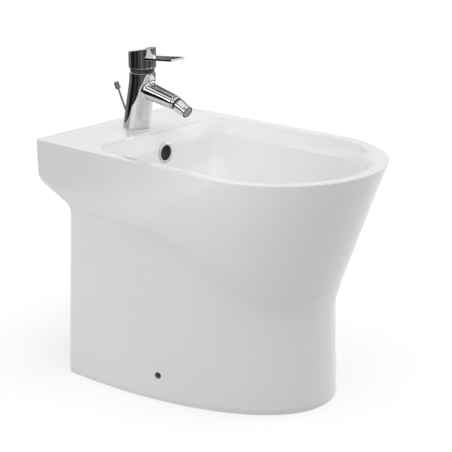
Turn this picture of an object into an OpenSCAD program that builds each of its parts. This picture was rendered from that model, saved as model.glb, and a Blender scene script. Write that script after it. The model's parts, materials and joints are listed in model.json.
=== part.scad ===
// Floor-standing bidet with a single-lever mixer, swivel nozzle and pop-up waste.
// Millimetres. X is across, -Y is the front, +Y the wall side, +Z up, z = 0 the floor.
// The origin is the middle of the footprint's box, on the floor.

/* [Ceramic body] */
// Length of the rim from the back edge to the front
rim_l = 550; // [520:5:600]
// Width of the rim
rim_w = 350; // [330:5:380]
// Height of the rim above the floor
rim_h = 400; // [380:5:430]
// Radius of the rim's two back corners, seen from above
rim_corner = 13; // [9:1:20]
// Rounding of the rim's outer top edge
rim_round = 5; // [3:0.5:7]
// Height of the vertical back face under the rim
shelf_h = 67; // [55:1:75]
// Width of the foot at its widest
base_w = 355; // [340:5:380]
// Length of the foot
base_l = 418; // [396:2:440]
// Distance of the foot's back edge from the back of the rim
base_setback = 62; // [54:1:70]
// How much the pedestal narrows on each side, from the floor to the crease
flare_side = 11.5; // [6:0.5:16]
// How much the pedestal narrows at the front, from the floor to the waist
flare_front = 12; // [6:0.5:16]
// Height of the crease along the sides
crease_h = 290; // [275:1:300]
// Height of the waist at the front
waist_h = 153; // [140:1:170]
// Thickness of the outer wall
wall_t = 13; // [10:0.5:15]
// Thickness of the deck under the mixer
deck_t = 14; // [12:0.5:18]
// Width of the opening in the back of the pedestal
back_opening_w = 270; // [220:5:290]

/* [Bowl] */
// Width of the rim round the bowl
rim_land = 32; // [28:1:38]
// Depth of the deck behind the bowl
deck_l = 127; // [124:1:132]
// Fall of the rim towards the bowl
rim_fall = 4; // [2:0.5:5]
// Depth of the bowl below the rim
bowl_depth = 150; // [140:1:155]
// Thickness of the bowl's wall
bowl_t = 11; // [9:0.5:12]

/* [Overflow] */
// Depth of the overflow's centre below the rim
overflow_drop = 35; // [33:1:40]
// Radius of the hole through the bowl's back wall
overflow_r = 14.5; // [12:0.5:15]
// Outer radius of the trim ring
overflow_ring_r = 17.5; // [16.5:0.5:19]
// Width of the channel behind the bowl
channel_w = 32; // [30:1:36]
// Depth of the channel, front to back
channel_d = 11; // [9:0.5:12]
// Wall of the channel
channel_t = 4; // [3:0.5:5]

/* [Mixer body] */
// Distance of the mixer's hole from the back edge of the rim
tap_setback = 69.5; // [66:0.5:74]
// Radius of the hole in the deck
tap_hole_r = 17.5; // [17.5:0.5:18.5]
// Radius of the mixer at the deck
mixer_base_r = 23.7; // [23:0.1:26]
// Radius of the mixer below the handle
mixer_top_r = 22.3; // [22:0.1:23]
// Height of the mixer's body above the deck
mixer_h = 97.5; // [94:0.5:104]
// How far the mixer leans forward from the deck to the handle
mixer_lean = 16; // [12:0.5:18]
// Height of the bend where the leaning part meets the upright part
mixer_bend_h = 84; // [80:0.5:88]
// Radius of the cartridge
cartridge_r = 17.4; // [16.5:0.1:17.5]
// Height of the cartridge's seat above the deck
cartridge_seat_h = 62; // [60:0.5:66]

/* [Handle] */
// Radius of the handle's cap
cap_r = 23.3; // [23.2:0.1:24.5]
// Wall of the cap
cap_t = 2; // [1.6:0.1:2]
// Height of the cap's lower edge above the deck
cap_bottom_h = 105.5; // [105:0.5:107]
// Height of the cap's top above the deck, at its middle
cap_top_h = 136.3; // [134:0.1:142]
// Slope of the cap's top, up to the front, in degrees
cap_slope = 11; // [6:0.5:14]
// Reach of the lever from the cap's axis
lever_reach = 81; // [70:1:95]
// Width of the lever at the cap
lever_root_w = 28; // [24:0.5:32]
// Width of the lever at its tip
lever_tip_w = 33; // [26:0.5:36]
// Thickness of the lever
lever_t = 3.6; // [3:0.1:5]
// Slope of the lever, up to the front, in degrees
lever_slope = 4.6; // [2:0.1:7]

/* [Spout and nozzle] */
// Reach of the nozzle's ball joint from the mixer's hole
spout_reach = 91.2; // [84:0.2:100]
// Slope of the spout, down to the front, in degrees
spout_slope = 11.6; // [8:0.1:16]
// Height above the deck where the spout's line crosses the handle's axis
spout_h = 70; // [68:0.5:72]
// Radius of the spout at the handle's axis
spout_root_r = 16.4; // [14.5:0.1:17]
// Radius of the spout at its end
spout_end_r = 12.4; // [12.3:0.1:13.5]
// Slope of the nozzle at rest, down to the front, in degrees
nozzle_slope = 25.6; // [20:0.2:30]
// Length of the nozzle from its ball to the aerator ring
nozzle_l = 23; // [20:0.5:28]
// Outer radius of the nozzle at the ball
nozzle_r = 11.9; // [11.5:0.1:11.9]
// Outer radius of the nozzle at the aerator
nozzle_tip_r = 10.5; // [10:0.1:11.2]
// Length of the aerator's visible ring
aerator_lip_l = 6.6; // [4:0.2:9]
// Radius of the swivel ball
ball_r = 8; // [7:0.1:8]

/* [Lift rod] */
// Radius of the lift rod
rod_r = 1.75; // [1.5:0.05:2]
// Lean of the lift rod to the back, in degrees
rod_lean = 25.3; // [23:0.1:26]
// Distance behind the mixer's hole where the rod's line meets the deck
rod_offset = 12.7; // [12:0.1:13]
// Length of rod that shows between the deck and the knob, along the rod
rod_visible_l = 66.5; // [55:0.5:80]
// Radius of the knob
knob_r = 4.6; // [3.5:0.1:6]
// Length of the knob
knob_l = 13; // [9:0.5:18]
// Travel of the rod
rod_travel = 20; // [16:0.5:22]

/* [Waste] */
// Distance of the waste from the back edge of the rim
waste_setback = 255; // [250:1:260]
// Radius of the hole through the ceramic
waste_hole_r = 22.5; // [22.5:0.1:23.5]
// Outer radius of the waste's flange
flange_r = 31.5; // [30:0.5:33]
// Height of the pivot above the floor
pivot_h = 165; // [160:1:170]
// Distance of the pivot behind the waste's axis
pivot_offset = 28; // [28:0.5:30]
// Radius of the pivot rod
pivot_rod_r = 2.25; // [2:0.05:2.5]
// Radius of the pivot's ball
pivot_ball_r = 5.5; // [5:0.1:5.6]
// Outer radius of the tailpiece
tail_r = 16; // [15.9:0.1:16.1]
// Wall of the tailpiece
tail_t = 1.4; // [1:0.1:2]
// Height of the tailpiece's open end above the floor
tail_end_h = 60; // [40:5:90]

/* [Fixings] */
// Height of the side fixing holes above the floor
side_hole_h = 44; // [40:1:50]
// Distance of the side fixing holes from the back edge of the rim
side_hole_setback = 262; // [240:1:280]
// Radius of the side fixing holes
side_hole_r = 5.6; // [5:0.1:6.5]
// Radius of the fixing screws' shanks
screw_r = 3; // [2.5:0.1:3.5]
// Radius of the floor holes in the brackets
floor_hole_r = 4.2; // [3.5:0.1:5]
// Spacing of the two floor holes in a bracket
floor_hole_pitch = 28; // [24:1:34]
// Distance from the foot's side to the bracket's upright
bracket_inset = 44.5; // [42:0.5:50]
// Thickness of the bracket's plates
bracket_t = 4; // [3:0.5:6]
// Radius of the mixer's fixing stud
stud_r = 4; // [3.5:0.1:4]

/* [Hidden] */

$fn = 64;
// Gap between pieces that move past each other
move_gap = 0.35;
// Gap between a piece and the hole that it is fixed in
fit_gap = 0.1;
// Overshoot of a cut past the face that it opens
cut = 1;

// Colours
c_ceramic = [0.94, 0.94, 0.93];
c_chrome = [0.72, 0.74, 0.76];
c_brass = [0.78, 0.66, 0.36];
c_steel = [0.62, 0.63, 0.65];
c_rubber = [0.12, 0.12, 0.12];
c_white_plastic = [0.88, 0.88, 0.86];
c_dark_plastic = [0.3, 0.32, 0.34];
c_disc = [0.9, 0.88, 0.84];

// ---- Ceramic: plan outlines -------------------------------------------------
// Columns of the body's surface: round the front, along a side, round a corner, along the back
n_front = 10;
n_side = 3;
n_corner = 3;
n_back = 2;
n_loop = 2 * (n_front + n_side + n_corner + n_back);

back_y = rim_l / 2;
front_y = -rim_l / 2;
rim_z = rim_h;
base_back_y = back_y - base_setback;
base_front_y = base_back_y - base_l;
ped_back_y = base_back_y - 9;
waist_front_y = base_front_y + flare_front;
ped_exp = 2.1;
lip_rise = 8;
lip_drop = 20;
lip_inset = 1;
lip_round = 4;

// Height of the crease under the bowl's outer form, from its distance along the body
flat_front_y = 60;
flat_back_y = back_y - 125;
shelf_z = rim_z - shelf_h;
crease_drop = crease_h - waist_h - lip_drop;
function front_part(y) = min(1, (flat_front_y - y) / (flat_front_y - waist_front_y));
function back_part(y) = (y - flat_back_y) / (back_y - flat_back_y);
function ease(t) = t * t * (3 - 2 * t);
function crease_z(y) =
    y < flat_front_y ? crease_h - crease_drop * ease(front_part(y)) :
    y > flat_back_y ? crease_h + (shelf_z - crease_h) * back_part(y) : crease_h;

// An outline is [half width, back, start of the round front, front, exponent, corner radius]
function half_plan(o) = concat(
    [for (k = [0:n_front]) let (a = 90 * k / n_front)
        [o[0] * pow(sin(a), 2 / o[4]), o[2] - (o[2] - o[3]) * pow(cos(a), 2 / o[4])]],
    [for (k = [1:n_side]) [o[0], o[2] + (o[1] - o[5] - o[2]) * k / n_side]],
    [for (k = [1:n_corner]) let (a = 90 * k / n_corner)
        [o[0] - o[5] + o[5] * cos(a), o[1] - o[5] + o[5] * sin(a)]],
    [for (k = [1:n_back]) [(o[0] - o[5]) * (1 - k / n_back), o[1]]]);
function mirrored(h) = concat(h, [for (i = [len(h) - 2:-1:1]) [-h[i][0], h[i][1]]]);
function inset(o, d) = [o[0] - d, o[1] - d, o[2], o[3] + d, o[4], max(o[5] - d, 3)];
// A level ring, and a ring that follows the crease at a given height over it
function level(o, z) = [for (p = mirrored(half_plan(o))) [p[0], p[1], z]];
function along_crease(o, dz, back_dz) = [for (p = mirrored(half_plan(o)))
    [p[0], p[1], crease_z(p[1]) + mix(dz, back_dz, smooth_back(p[1]))]];
function mix(a, b, t) = a + (b - a) * t;
function smooth_back(y) = min(1, max(0, (y - flat_back_y + 50) / 60));
function round_ring(r, y, z) = [for (i = [0:n_loop - 1]) let (a = 360 * i / n_loop)
    [r * sin(a), y - r * cos(a), z]];

rim_ys = front_y + rim_w / 2;
rim_out = [rim_w / 2, back_y, rim_ys, front_y, 2, rim_corner];
lip_z = waist_h + lip_drop + lip_rise;
// The front is straight from the rim to the lip
lip_front_y = waist_front_y - 8;
function lean_y(z) = front_y + (lip_front_y - front_y) * (rim_z - z) / (rim_z - lip_z);
lip_out = [rim_w / 2 - lip_inset, back_y, 80, lip_front_y, ped_exp, rim_corner];
under_out = [rim_w / 2 - 5, back_y - lip_round, 110, waist_front_y - 4.5, ped_exp, rim_corner - 3];
waist_out = [base_w / 2 - flare_side, ped_back_y, ped_back_y - 41, waist_front_y, ped_exp, 12];
base_out = [base_w / 2, base_back_y, base_back_y - 44, base_front_y, ped_exp, 14];

// Bowl, from the mouth down to the waste
mouth_back_y = back_y - deck_l;
mouth = [rim_w / 2 - rim_land, mouth_back_y, rim_ys, front_y + rim_land, 2, 22];
floor_z = rim_z - bowl_depth;
waste_y = back_y - waste_setback;
bowl_edge = inset(mouth, 6.5);
bowl_top = inset(mouth, 8.5);
bowl_mid_z = rim_z - 70;
bowl_low_z = rim_z - 115;
bowl_mid = [mouth[0] - 14, mouth_back_y - 12, rim_ys + 5, lean_y(bowl_mid_z) + 37, 2.1, 20];
bowl_low = [mouth[0] - 25, mouth_back_y - 26, rim_ys + 15, lean_y(bowl_low_z) + 47, 2.1, 30];
bowl_floor = [mouth[0] - 48, mouth_back_y - 41, rim_ys + 50, lean_y(bowl_low_z) + 88, 2.1, 46];
flange_recess_r = flange_r + 1.5;
core_r = waste_hole_r - 2.5;

// Inside of the hollow body
inner_back_y = ped_back_y - wall_t;
function inner_of(o, d) = [o[0] - d, inner_back_y, min(o[2], inner_back_y - 25), o[3] + d, o[4], 8];
deck_z = rim_z - deck_t;

body_rings = [
    level(inset([rim_w / 2, mouth_back_y + 22, rim_ys, front_y, 2, 34], rim_round + 2), rim_z),
    level(inset(rim_out, rim_round), rim_z),
    level(inset(rim_out, rim_round * 0.3), rim_z - rim_round * 0.3),
    level(rim_out, rim_z - rim_round),
    along_crease(lip_out, lip_rise, lip_rise),
    along_crease(under_out, 0, 0),
    along_crease(waist_out, -lip_drop, -8),
    level(base_out, 8),
    level(inset(base_out, 2), 0),
    level(inner_of(base_out, wall_t + 8), 0),
    along_crease(inner_of(waist_out, wall_t), -24, -24),
    along_crease(inner_of(lip_out, wall_t), lip_rise, lip_rise),
    level(inner_of([rim_out[0], 0, rim_ys, front_y + 4, 2, 0], wall_t - 1), deck_z),
    level(inset(bowl_top, -bowl_t), deck_z),
    level(inset(bowl_mid, -bowl_t), bowl_mid_z),
    level(inset(bowl_low, -bowl_t), bowl_low_z - 6),
    level(inset(bowl_floor, -bowl_t), floor_z - 3),
    round_ring(flange_recess_r + 2, waste_y, floor_z - bowl_t),
    round_ring(core_r, waste_y, floor_z - bowl_t),
    round_ring(core_r, waste_y, floor_z),
    round_ring(flange_recess_r + 3, waste_y, floor_z),
    level(bowl_floor, floor_z + 8),
    level(bowl_low, bowl_low_z),
    level(bowl_mid, bowl_mid_z),
    level(bowl_top, rim_z - 20),
    level(bowl_edge, rim_z - 10),
    level(inset(mouth, 3), rim_z - rim_fall - 2),
    level(mouth, rim_z - rim_fall + 0.6)];

// One closed surface through all the rings: it runs over the rim, down the outside,
// up the inside, under the bowl, through the waste and up the bowl again.
module body_surface() {
    n_rings = len(body_rings);
    points = [for (r = body_rings) each r];
    faces = [for (j = [0:n_rings - 1], i = [0:n_loop - 1])
        let (i2 = (i + 1) % n_loop, j2 = (j + 1) % n_rings)
        let (a = j * n_loop + i, b = j * n_loop + i2, c = j2 * n_loop + i2, d = j2 * n_loop + i)
        each [[a, b, c], [a, c, d]]];
    polyhedron(points = points, faces = faces, convexity = 12);
}

// ---- Ceramic: overflow channel ---------------------------------------------
overflow_z = rim_z - overflow_drop;
overflow_face_y = mouth_back_y - 8.8;
channel_top_y = mouth_back_y + 8.5;
channel_top_z = rim_z - 28;
channel_foot_y = mouth_back_y - 28;
channel_foot_z = floor_z - 14;
channel_run = channel_top_z - channel_foot_z;
channel_lean = atan((channel_top_y - channel_foot_y) / channel_run);
channel_l = channel_run / cos(channel_lean);
duct_h = 10;
duct_z = floor_z - 19;
boss_r = flange_r + 4.5;
boss_bottom_z = floor_z - 36;

module sloping_box(w, d, below, above) {
    translate([0, channel_foot_y, channel_foot_z])
        rotate([-channel_lean, 0, 0])
            translate([-w / 2, -d / 2, -below])
                cube([w, d, channel_l + below + above]);
}

module channel_outside() {
    sloping_box(channel_w + 2 * channel_t, channel_d + 2 * channel_t, 10, 18);
    translate([-channel_w / 2 - channel_t + 0.5, waste_y + 15, duct_z - duct_h / 2 - channel_t])
        cube([channel_w + 2 * channel_t - 1, channel_foot_y - waste_y - 10, duct_h + 2 * channel_t + 3]);
}

module channel_inside() {
    sloping_box(channel_w, channel_d, 6, 2);
    translate([-channel_w / 2 + 0.5, waste_y + 10, duct_z - duct_h / 2])
        cube([channel_w - 1, channel_foot_y - waste_y - 8, duct_h]);
}

side_hole_y = back_y - side_hole_setback;

module side_hole(side) {
    translate([side * (base_w / 2 + cut), side_hole_y, side_hole_h])
        rotate([0, -side * 90, 0])
            cylinder(r = side_hole_r, h = 60);
}

tap_y = back_y - tap_setback;

module ceramic_body() {
    color(c_ceramic)
    difference() {
        union() {
            body_surface();
            translate([0, waste_y, boss_bottom_z])
                cylinder(r = boss_r, h = floor_z - boss_bottom_z - 5);
            channel_outside();
        }
        // Opening in the back, up to the deck and behind the pedestal's back wall
        translate([-back_opening_w / 2, inner_back_y - 20, -cut])
            cube([back_opening_w, back_y - wall_t - inner_back_y + 20, deck_z + cut]);
        translate([0, tap_y, deck_z - cut])
            cylinder(r = tap_hole_r, h = deck_t + 2 * cut);
        // Waste: bore and the recess for its flange
        translate([0, waste_y, boss_bottom_z - cut])
            cylinder(r = waste_hole_r, h = floor_z - boss_bottom_z + 20);
        translate([0, waste_y, floor_z - 3])
            cylinder(r = flange_recess_r, h = 30);
        // Overflow: spot face, hole and channel
        translate([0, overflow_face_y, overflow_z])
            rotate([90, 0, 0])
                cylinder(r = overflow_ring_r + 0.8, h = 30);
        translate([0, channel_top_y, overflow_z])
            rotate([90, 0, 0])
                cylinder(r = overflow_r, h = 40);
        channel_inside();
        side_hole(-1);
        side_hole(1);
    }
}

module overflow_ring() {
    ring_t = 2.2;
    sleeve_l = 9;
    color(c_chrome)
    translate([0, overflow_face_y, overflow_z])
        rotate([90, 0, 0])
            difference() {
                union() {
                    cylinder(r = overflow_ring_r, h = ring_t * 0.5);
                    translate([0, 0, ring_t * 0.5])
                        cylinder(r1 = overflow_ring_r, r2 = overflow_ring_r - 1.6, h = ring_t * 0.5);
                    translate([0, 0, -sleeve_l])
                        cylinder(r = overflow_r - fit_gap, h = sleeve_l + ring_t * 0.5);
                }
                translate([0, 0, -sleeve_l - cut])
                    cylinder(r = overflow_r - 1.5, h = sleeve_l + ring_t + 2 * cut);
            }
}

// ---- Mixer ------------------------------------------------------------------
head_y = tap_y - mixer_lean;
mixer_top_z = rim_z + mixer_h;
bend_z = rim_z + mixer_bend_h;
body_lean = atan(mixer_lean / mixer_bend_h);
body_run = mixer_bend_h / cos(body_lean);
shank_r = tap_hole_r - 0.5;
shank_h = 8;
seat_z = rim_z + cartridge_seat_h;
nut_h = 8;
nut_r = cartridge_r + 1.5;
stud_y = tap_y - 11;
inlet_x = 7.5;
inlet_r = 4.6;
inlet_l = 12;
inlet_z = rim_z + 1;
water_r = 3;
swivel_y = tap_y - spout_reach;
swivel_z = rim_z + spout_h - (head_y - swivel_y) * tan(spout_slope);
spout_l = (head_y - swivel_y) / cos(spout_slope);
cup_r = nozzle_r + 0.35;
spigot_r = 9.4;
spigot_back = 24;

// Local +Z points along a line that slopes down to the front, from the swivel's centre
module at_swivel(slope) {
    translate([0, swivel_y, swivel_z])
        rotate([90 + slope, 0, 0])
            children();
}

rod_deck_y = tap_y + rod_offset;

// Local +Z points up along the lift rod, from where its line meets the deck
module at_rod() {
    translate([0, rod_deck_y, rim_z])
        rotate([-rod_lean, 0, 0])
            children();
}

module leaning_body() {
    intersection() {
        translate([0, tap_y, rim_z])
            rotate([body_lean, 0, 0])
                translate([0, 0, -12])
                    cylinder(r1 = mixer_base_r + 0.2, r2 = mixer_top_r - 0.8, h = body_run + 18);
        translate([-50, tap_y - 70, rim_z])
            cube([100, 140, mixer_bend_h]);
    }
}

module mixer_outside() {
    leaning_body();
    translate([0, head_y, bend_z])
        cylinder(r = mixer_top_r, h = mixer_top_z - bend_z - 1.5);
    translate([0, head_y, mixer_top_z - 1.5])
        cylinder(r1 = mixer_top_r, r2 = mixer_top_r - 1.5, h = 1.5);
    at_swivel(spout_slope)
        translate([0, 0, -spout_l])
            cylinder(r1 = spout_root_r, r2 = spout_end_r, h = spout_l - 3);
    translate([0, tap_y, rim_z - shank_h])
        cylinder(r = shank_r, h = shank_h + 2);
}

// Waterway from an inlet to the cartridge's seat
module waterway(side) {
    rise = seat_z - inlet_z - inlet_l + 1;
    back = tap_y - head_y - 2;
    translate([side * inlet_x, tap_y, inlet_z + inlet_l - 1])
        rotate([atan(back / rise), 0, 0])
            cylinder(r = water_r, h = rise / cos(atan(back / rise)) + 1.5);
}

module mixer_body() {
    color(c_chrome)
    difference() {
        mixer_outside();
        translate([0, head_y, seat_z])
            cylinder(r = cartridge_r + fit_gap, h = mixer_h);
        translate([0, head_y, mixer_top_z - nut_h])
            cylinder(r = nut_r + fit_gap, h = nut_h + cut);
        for (side = [-1, 1]) {
            // Clearance through the shank, then the thread
            translate([side * inlet_x, tap_y, rim_z - shank_h - cut])
                cylinder(r = inlet_r + 0.6, h = inlet_z - rim_z + shank_h + cut);
            translate([side * inlet_x, tap_y, inlet_z - cut])
                cylinder(r = inlet_r, h = inlet_l + cut);
            waterway(side);
        }
        translate([0, stud_y, rim_z - shank_h - cut])
            cylinder(r = stud_r + fit_gap, h = shank_h + 5 + cut);
        at_rod()
            translate([0, 0, -20])
                cylinder(r = rod_r + move_gap, h = 60);
        // Waterway along the spout, the threaded seat of the swivel and the cup round the nozzle
        at_swivel(spout_slope)
            translate([0, 0, -spout_l + cartridge_r - 3])
                cylinder(r = 5, h = spout_l);
        at_swivel(spout_slope)
            translate([0, 0, -spigot_back - 1.8])
                cylinder(r = spigot_r + fit_gap, h = spigot_back);
        at_swivel(spout_slope)
            sphere(r = cup_r);
        // Groove for the seal under the base
        translate([0, tap_y, rim_z - cut])
            difference() {
                cylinder(r = mixer_base_r - 2, h = cut + 1.2);
                cylinder(r = shank_r + 0.8, h = cut + 1.2);
            }
    }
}

module base_seal() {
    color(c_rubber)
    translate([0, tap_y, rim_z])
        difference() {
            cylinder(r = mixer_base_r - 2.1, h = 1.2);
            translate([0, 0, -cut])
                cylinder(r = shank_r + 0.9, h = 1.2 + 2 * cut);
        }
}

// ---- Cartridge ----------------------------------------------------------------
lift_pivot_z = mixer_top_z + 6.5;
dome_r = cap_r - cap_t - 0.4;
dome_bore_r = cartridge_r + 0.1;
disc_r = cartridge_r - 2.9;
disc_h = 4.4;
seal_h = 1.5;
cartridge_z = seat_z + seal_h;
cartridge_top_z = mixer_top_z - nut_h - 0.2;
turret_r = 12;
turret_z = cartridge_z + 19;
boss_top_z = mixer_top_z - 1.5;
cheek_in = 6.3;
cheek_out = 10.5;
cheek_h = 4.2;
pin_r = 1.5;
stem_w = 7;
hub_r = 4.2;

module trim_ring() {
    color(c_chrome)
    translate([0, head_y, lift_pivot_z])
        difference() {
            intersection() {
                sphere(r = dome_r);
                translate([-30, -30, mixer_top_z - lift_pivot_z])
                    cube([60, 60, 13.5]);
            }
            translate([0, 0, -20])
                cylinder(r = dome_bore_r, h = 40);
        }
}

module cartridge_nut() {
    color(c_brass)
    translate([0, head_y, mixer_top_z - nut_h])
        difference() {
            cylinder(r = nut_r, h = nut_h);
            translate([0, 0, -cut])
                cylinder(r = turret_r + 2.2, h = nut_h + 2 * cut);
        }
}

module cartridge_body() {
    color(c_white_plastic)
    translate([0, head_y, 0])
        difference() {
            union() {
                translate([0, 0, cartridge_z])
                    cylinder(r = cartridge_r, h = cartridge_top_z - cartridge_z);
                translate([0, 0, cartridge_z])
                    cylinder(r = turret_r + 2, h = boss_top_z - cartridge_z);
            }
            translate([0, 0, cartridge_z - cut])
                cylinder(r = disc_r + fit_gap, h = 2 * disc_h + 0.6 + cut);
            translate([0, 0, turret_z - move_gap])
                cylinder(r = turret_r + move_gap, h = 60);
            translate([0, 0, cartridge_z + 2 * disc_h])
                cylinder(r = 6, h = 30);
        }
}

module cartridge_seals() {
    color(c_rubber)
    for (place = [[-inlet_x, -2], [inlet_x, -2], [0, 9]])
        translate([place[0], head_y - place[1], seat_z])
            difference() {
                cylinder(r = 5.4, h = seal_h, $fn = 32);
                translate([0, 0, -cut])
                    cylinder(r = 3.4, h = seal_h + 2 * cut, $fn = 32);
            }
}

module ceramic_discs() {
    color(c_disc)
    for (k = [0, 1])
        translate([0, head_y, cartridge_z + k * (disc_h + 0.1)])
            difference() {
                cylinder(r = disc_r, h = disc_h);
                for (place = [[-inlet_x, -2], [inlet_x, -2], [0, 9]])
                    translate([place[0], -place[1], -cut])
                        cylinder(r = 3, h = disc_h + 2 * cut, $fn = 32);
            }
}

module cartridge_turret() {
    color(c_white_plastic)
    translate([0, head_y, 0])
        difference() {
            union() {
                translate([0, 0, turret_z])
                    cylinder(r = turret_r, h = mixer_top_z + 0.5 - turret_z);
                for (side = [-1, 1])
                    translate([side > 0 ? cheek_in : -cheek_out, -hub_r - 1, mixer_top_z])
                        cube([cheek_out - cheek_in, 2 * hub_r + 2, lift_pivot_z + cheek_h - mixer_top_z]);
            }
            // Room for the stem's lower end and for its hub
            translate([-3.6, -8, turret_z + 6])
                cube([7.2, 16, 60]);
            translate([-cheek_in, 0, lift_pivot_z])
                rotate([0, 90, 0])
                    cylinder(r = hub_r + 1.9, h = 2 * cheek_in);
            translate([-cheek_out - cut, 0, lift_pivot_z])
                rotate([0, 90, 0])
                    cylinder(r = pin_r + 0.02, h = 2 * (cheek_out + cut), $fn = 32);
        }
}

module stem_pin() {
    color(c_steel)
    translate([-cheek_out, head_y, lift_pivot_z])
        rotate([0, 90, 0])
            cylinder(r = pin_r, h = 2 * cheek_out, $fn = 32);
}

stem_top_z = rim_z + cap_top_h - 11;

module cartridge_stem() {
    color(c_steel)
    translate([0, head_y, lift_pivot_z])
        difference() {
            union() {
                translate([-cheek_in + 0.3, 0, 0])
                    rotate([0, 90, 0])
                        cylinder(r = hub_r, h = 2 * cheek_in - 0.6);
                translate([-stem_w / 2, -stem_w / 2, 0])
                    cube([stem_w, stem_w, stem_top_z - lift_pivot_z]);
                translate([-2.5, -2.5, -11.5])
                    cube([5, 5, 11.5]);
            }
            translate([-20, 0, 0])
                rotate([0, 90, 0])
                    cylinder(r = pin_r + 0.06, h = 40, $fn = 32);
        }
}

// ---- Handle --------------------------------------------------------------------
cap_bottom_z = rim_z + cap_bottom_h;
cap_top_z = rim_z + cap_top_h;
cap_inner_r = cap_r - cap_t;
cap_roof_z = cap_top_z - cap_r * tan(cap_slope) - 4.5;
boss_z = lift_pivot_z + 8;
grub_z = boss_z + 4;
grub_r = 2.5;
plug_r = 3.2;
plug_l = 4;
lever_mid_z = cap_top_z - 15.3;

module lever_plan() {
    hull() {
        translate([-lever_root_w / 2, -cap_r + 6])
            square([lever_root_w, 2]);
        for (side = [-1, 1])
            translate([side * (lever_tip_w / 2 - 2), -lever_reach + 2])
                circle(r = 2, $fn = 24);
    }
}

module lever() {
    translate([0, head_y, lever_mid_z])
        rotate([-lever_slope, 0, 0])
            translate([0, 0, -lever_t / 2])
                linear_extrude(lever_t)
                    lever_plan();
}

module cap_shell() {
    translate([0, head_y, cap_bottom_z])
        difference() {
            cylinder(r = cap_r, h = cap_top_z - cap_bottom_z + 10);
            // Sloping top
            translate([0, 0, cap_top_z - cap_bottom_z])
                rotate([-cap_slope, 0, 0])
                    translate([-2 * cap_r, -2 * cap_r, 0])
                        cube([4 * cap_r, 4 * cap_r, 2 * cap_r]);
            translate([0, 0, -cut])
                cylinder(r = cap_inner_r, h = cap_roof_z - cap_bottom_z + cut);
        }
}

module handle() {
    color(c_chrome)
    difference() {
        union() {
            cap_shell();
            lever();
            // Socket for the stem, carried forward to the front wall for its screw
            translate([-7.5, head_y - cap_r + 1, boss_z])
                cube([15, cap_r + 6.5, cap_roof_z - boss_z + 1]);
        }
        translate([-stem_w / 2 - fit_gap, head_y - stem_w / 2 - fit_gap, boss_z - cut])
            cube([stem_w + 2 * fit_gap, stem_w + 2 * fit_gap, stem_top_z + 0.3 - boss_z + cut]);
        translate([0, head_y - stem_w / 2, grub_z])
            rotate([90, 0, 0])
                cylinder(r = grub_r + fit_gap, h = cap_r + cut, $fn = 32);
        translate([0, head_y - cap_r + plug_l, grub_z])
            rotate([90, 0, 0])
                cylinder(r = plug_r + fit_gap, h = plug_l + cut, $fn = 32);
    }
}

module handle_screw() {
    color(c_steel)
    translate([0, head_y - stem_w / 2, grub_z])
        rotate([90, 0, 0])
            difference() {
                cylinder(r = grub_r, h = 12, $fn = 32);
                translate([0, 0, 9])
                    cylinder(r = 1.4, h = 4, $fn = 6);
            }
}

module handle_plug() {
    color([0.5, 0.52, 0.55])
    translate([0, head_y - cap_r + plug_l, grub_z])
        rotate([90, 0, 0])
            cylinder(r = plug_r, h = plug_l - 0.3, $fn = 32);
}

// ---- Swivel nozzle ----------------------------------------------------------
neck_r = 4.5;
seat_in = ball_r + 0.35;
seat_out = seat_in + 0.6;
socket_r = seat_out + 0.35;
socket_angle = 63;
bore_r = 8;
thread_r = 9;
seal_z = 11;
thread_z = 12.6;

module swivel_ball() {
    color(c_chrome)
    at_swivel(spout_slope)
        difference() {
            union() {
                sphere(r = ball_r);
                translate([0, 0, -14])
                    cylinder(r = neck_r, h = 9);
                translate([0, 0, -spigot_back])
                    cylinder(r = spigot_r, h = spigot_back - cup_r - 0.5);
            }
            translate([0, 0, -spigot_back - cut])
                cylinder(r = 2.6, h = spigot_back + ball_r + 2 * cut, $fn = 32);
        }
}

module swivel_washer() {
    color(c_rubber)
    at_swivel(spout_slope)
        translate([0, 0, -spigot_back - 1.8])
            difference() {
                cylinder(r = spigot_r, h = 1.8);
                translate([0, 0, -cut])
                    cylinder(r = 5.2, h = 1.8 + 2 * cut);
            }
}

module ball_seat() {
    color(c_white_plastic)
    at_swivel(nozzle_slope)
        difference() {
            intersection() {
                sphere(r = seat_out);
                translate([-20, -20, -3])
                    cube([40, 40, 7]);
            }
            sphere(r = seat_in);
        }
}

module nozzle_body() {
    color(c_chrome)
    at_swivel(nozzle_slope)
        difference() {
            union() {
                sphere(r = nozzle_r);
                cylinder(r1 = nozzle_r, r2 = nozzle_tip_r, h = nozzle_l);
            }
            sphere(r = socket_r);
            // Opening at the back that lets the nozzle tilt round the ball's neck
            translate([0, 0, -nozzle_r - cut])
                cylinder(r1 = (nozzle_r + cut) * tan(socket_angle), r2 = 0, h = nozzle_r + cut);
            translate([0, 0, 2])
                cylinder(r = bore_r, h = nozzle_l);
            translate([0, 0, seal_z])
                cylinder(r = thread_r, h = nozzle_l);
        }
}

module aerator_housing() {
    color(c_chrome)
    at_swivel(nozzle_slope)
        difference() {
            union() {
                translate([0, 0, thread_z + 0.1])
                    cylinder(r = thread_r - fit_gap, h = nozzle_l - thread_z + 1);
                translate([0, 0, nozzle_l + 0.1])
                    cylinder(r = nozzle_tip_r - 0.1, h = aerator_lip_l - 1.1);
                translate([0, 0, nozzle_l + aerator_lip_l - 1])
                    cylinder(r1 = nozzle_tip_r - 0.1, r2 = nozzle_tip_r - 0.9, h = 1);
            }
            translate([0, 0, thread_z])
                cylinder(r = bore_r, h = nozzle_l + aerator_lip_l);
        }
}

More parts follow.
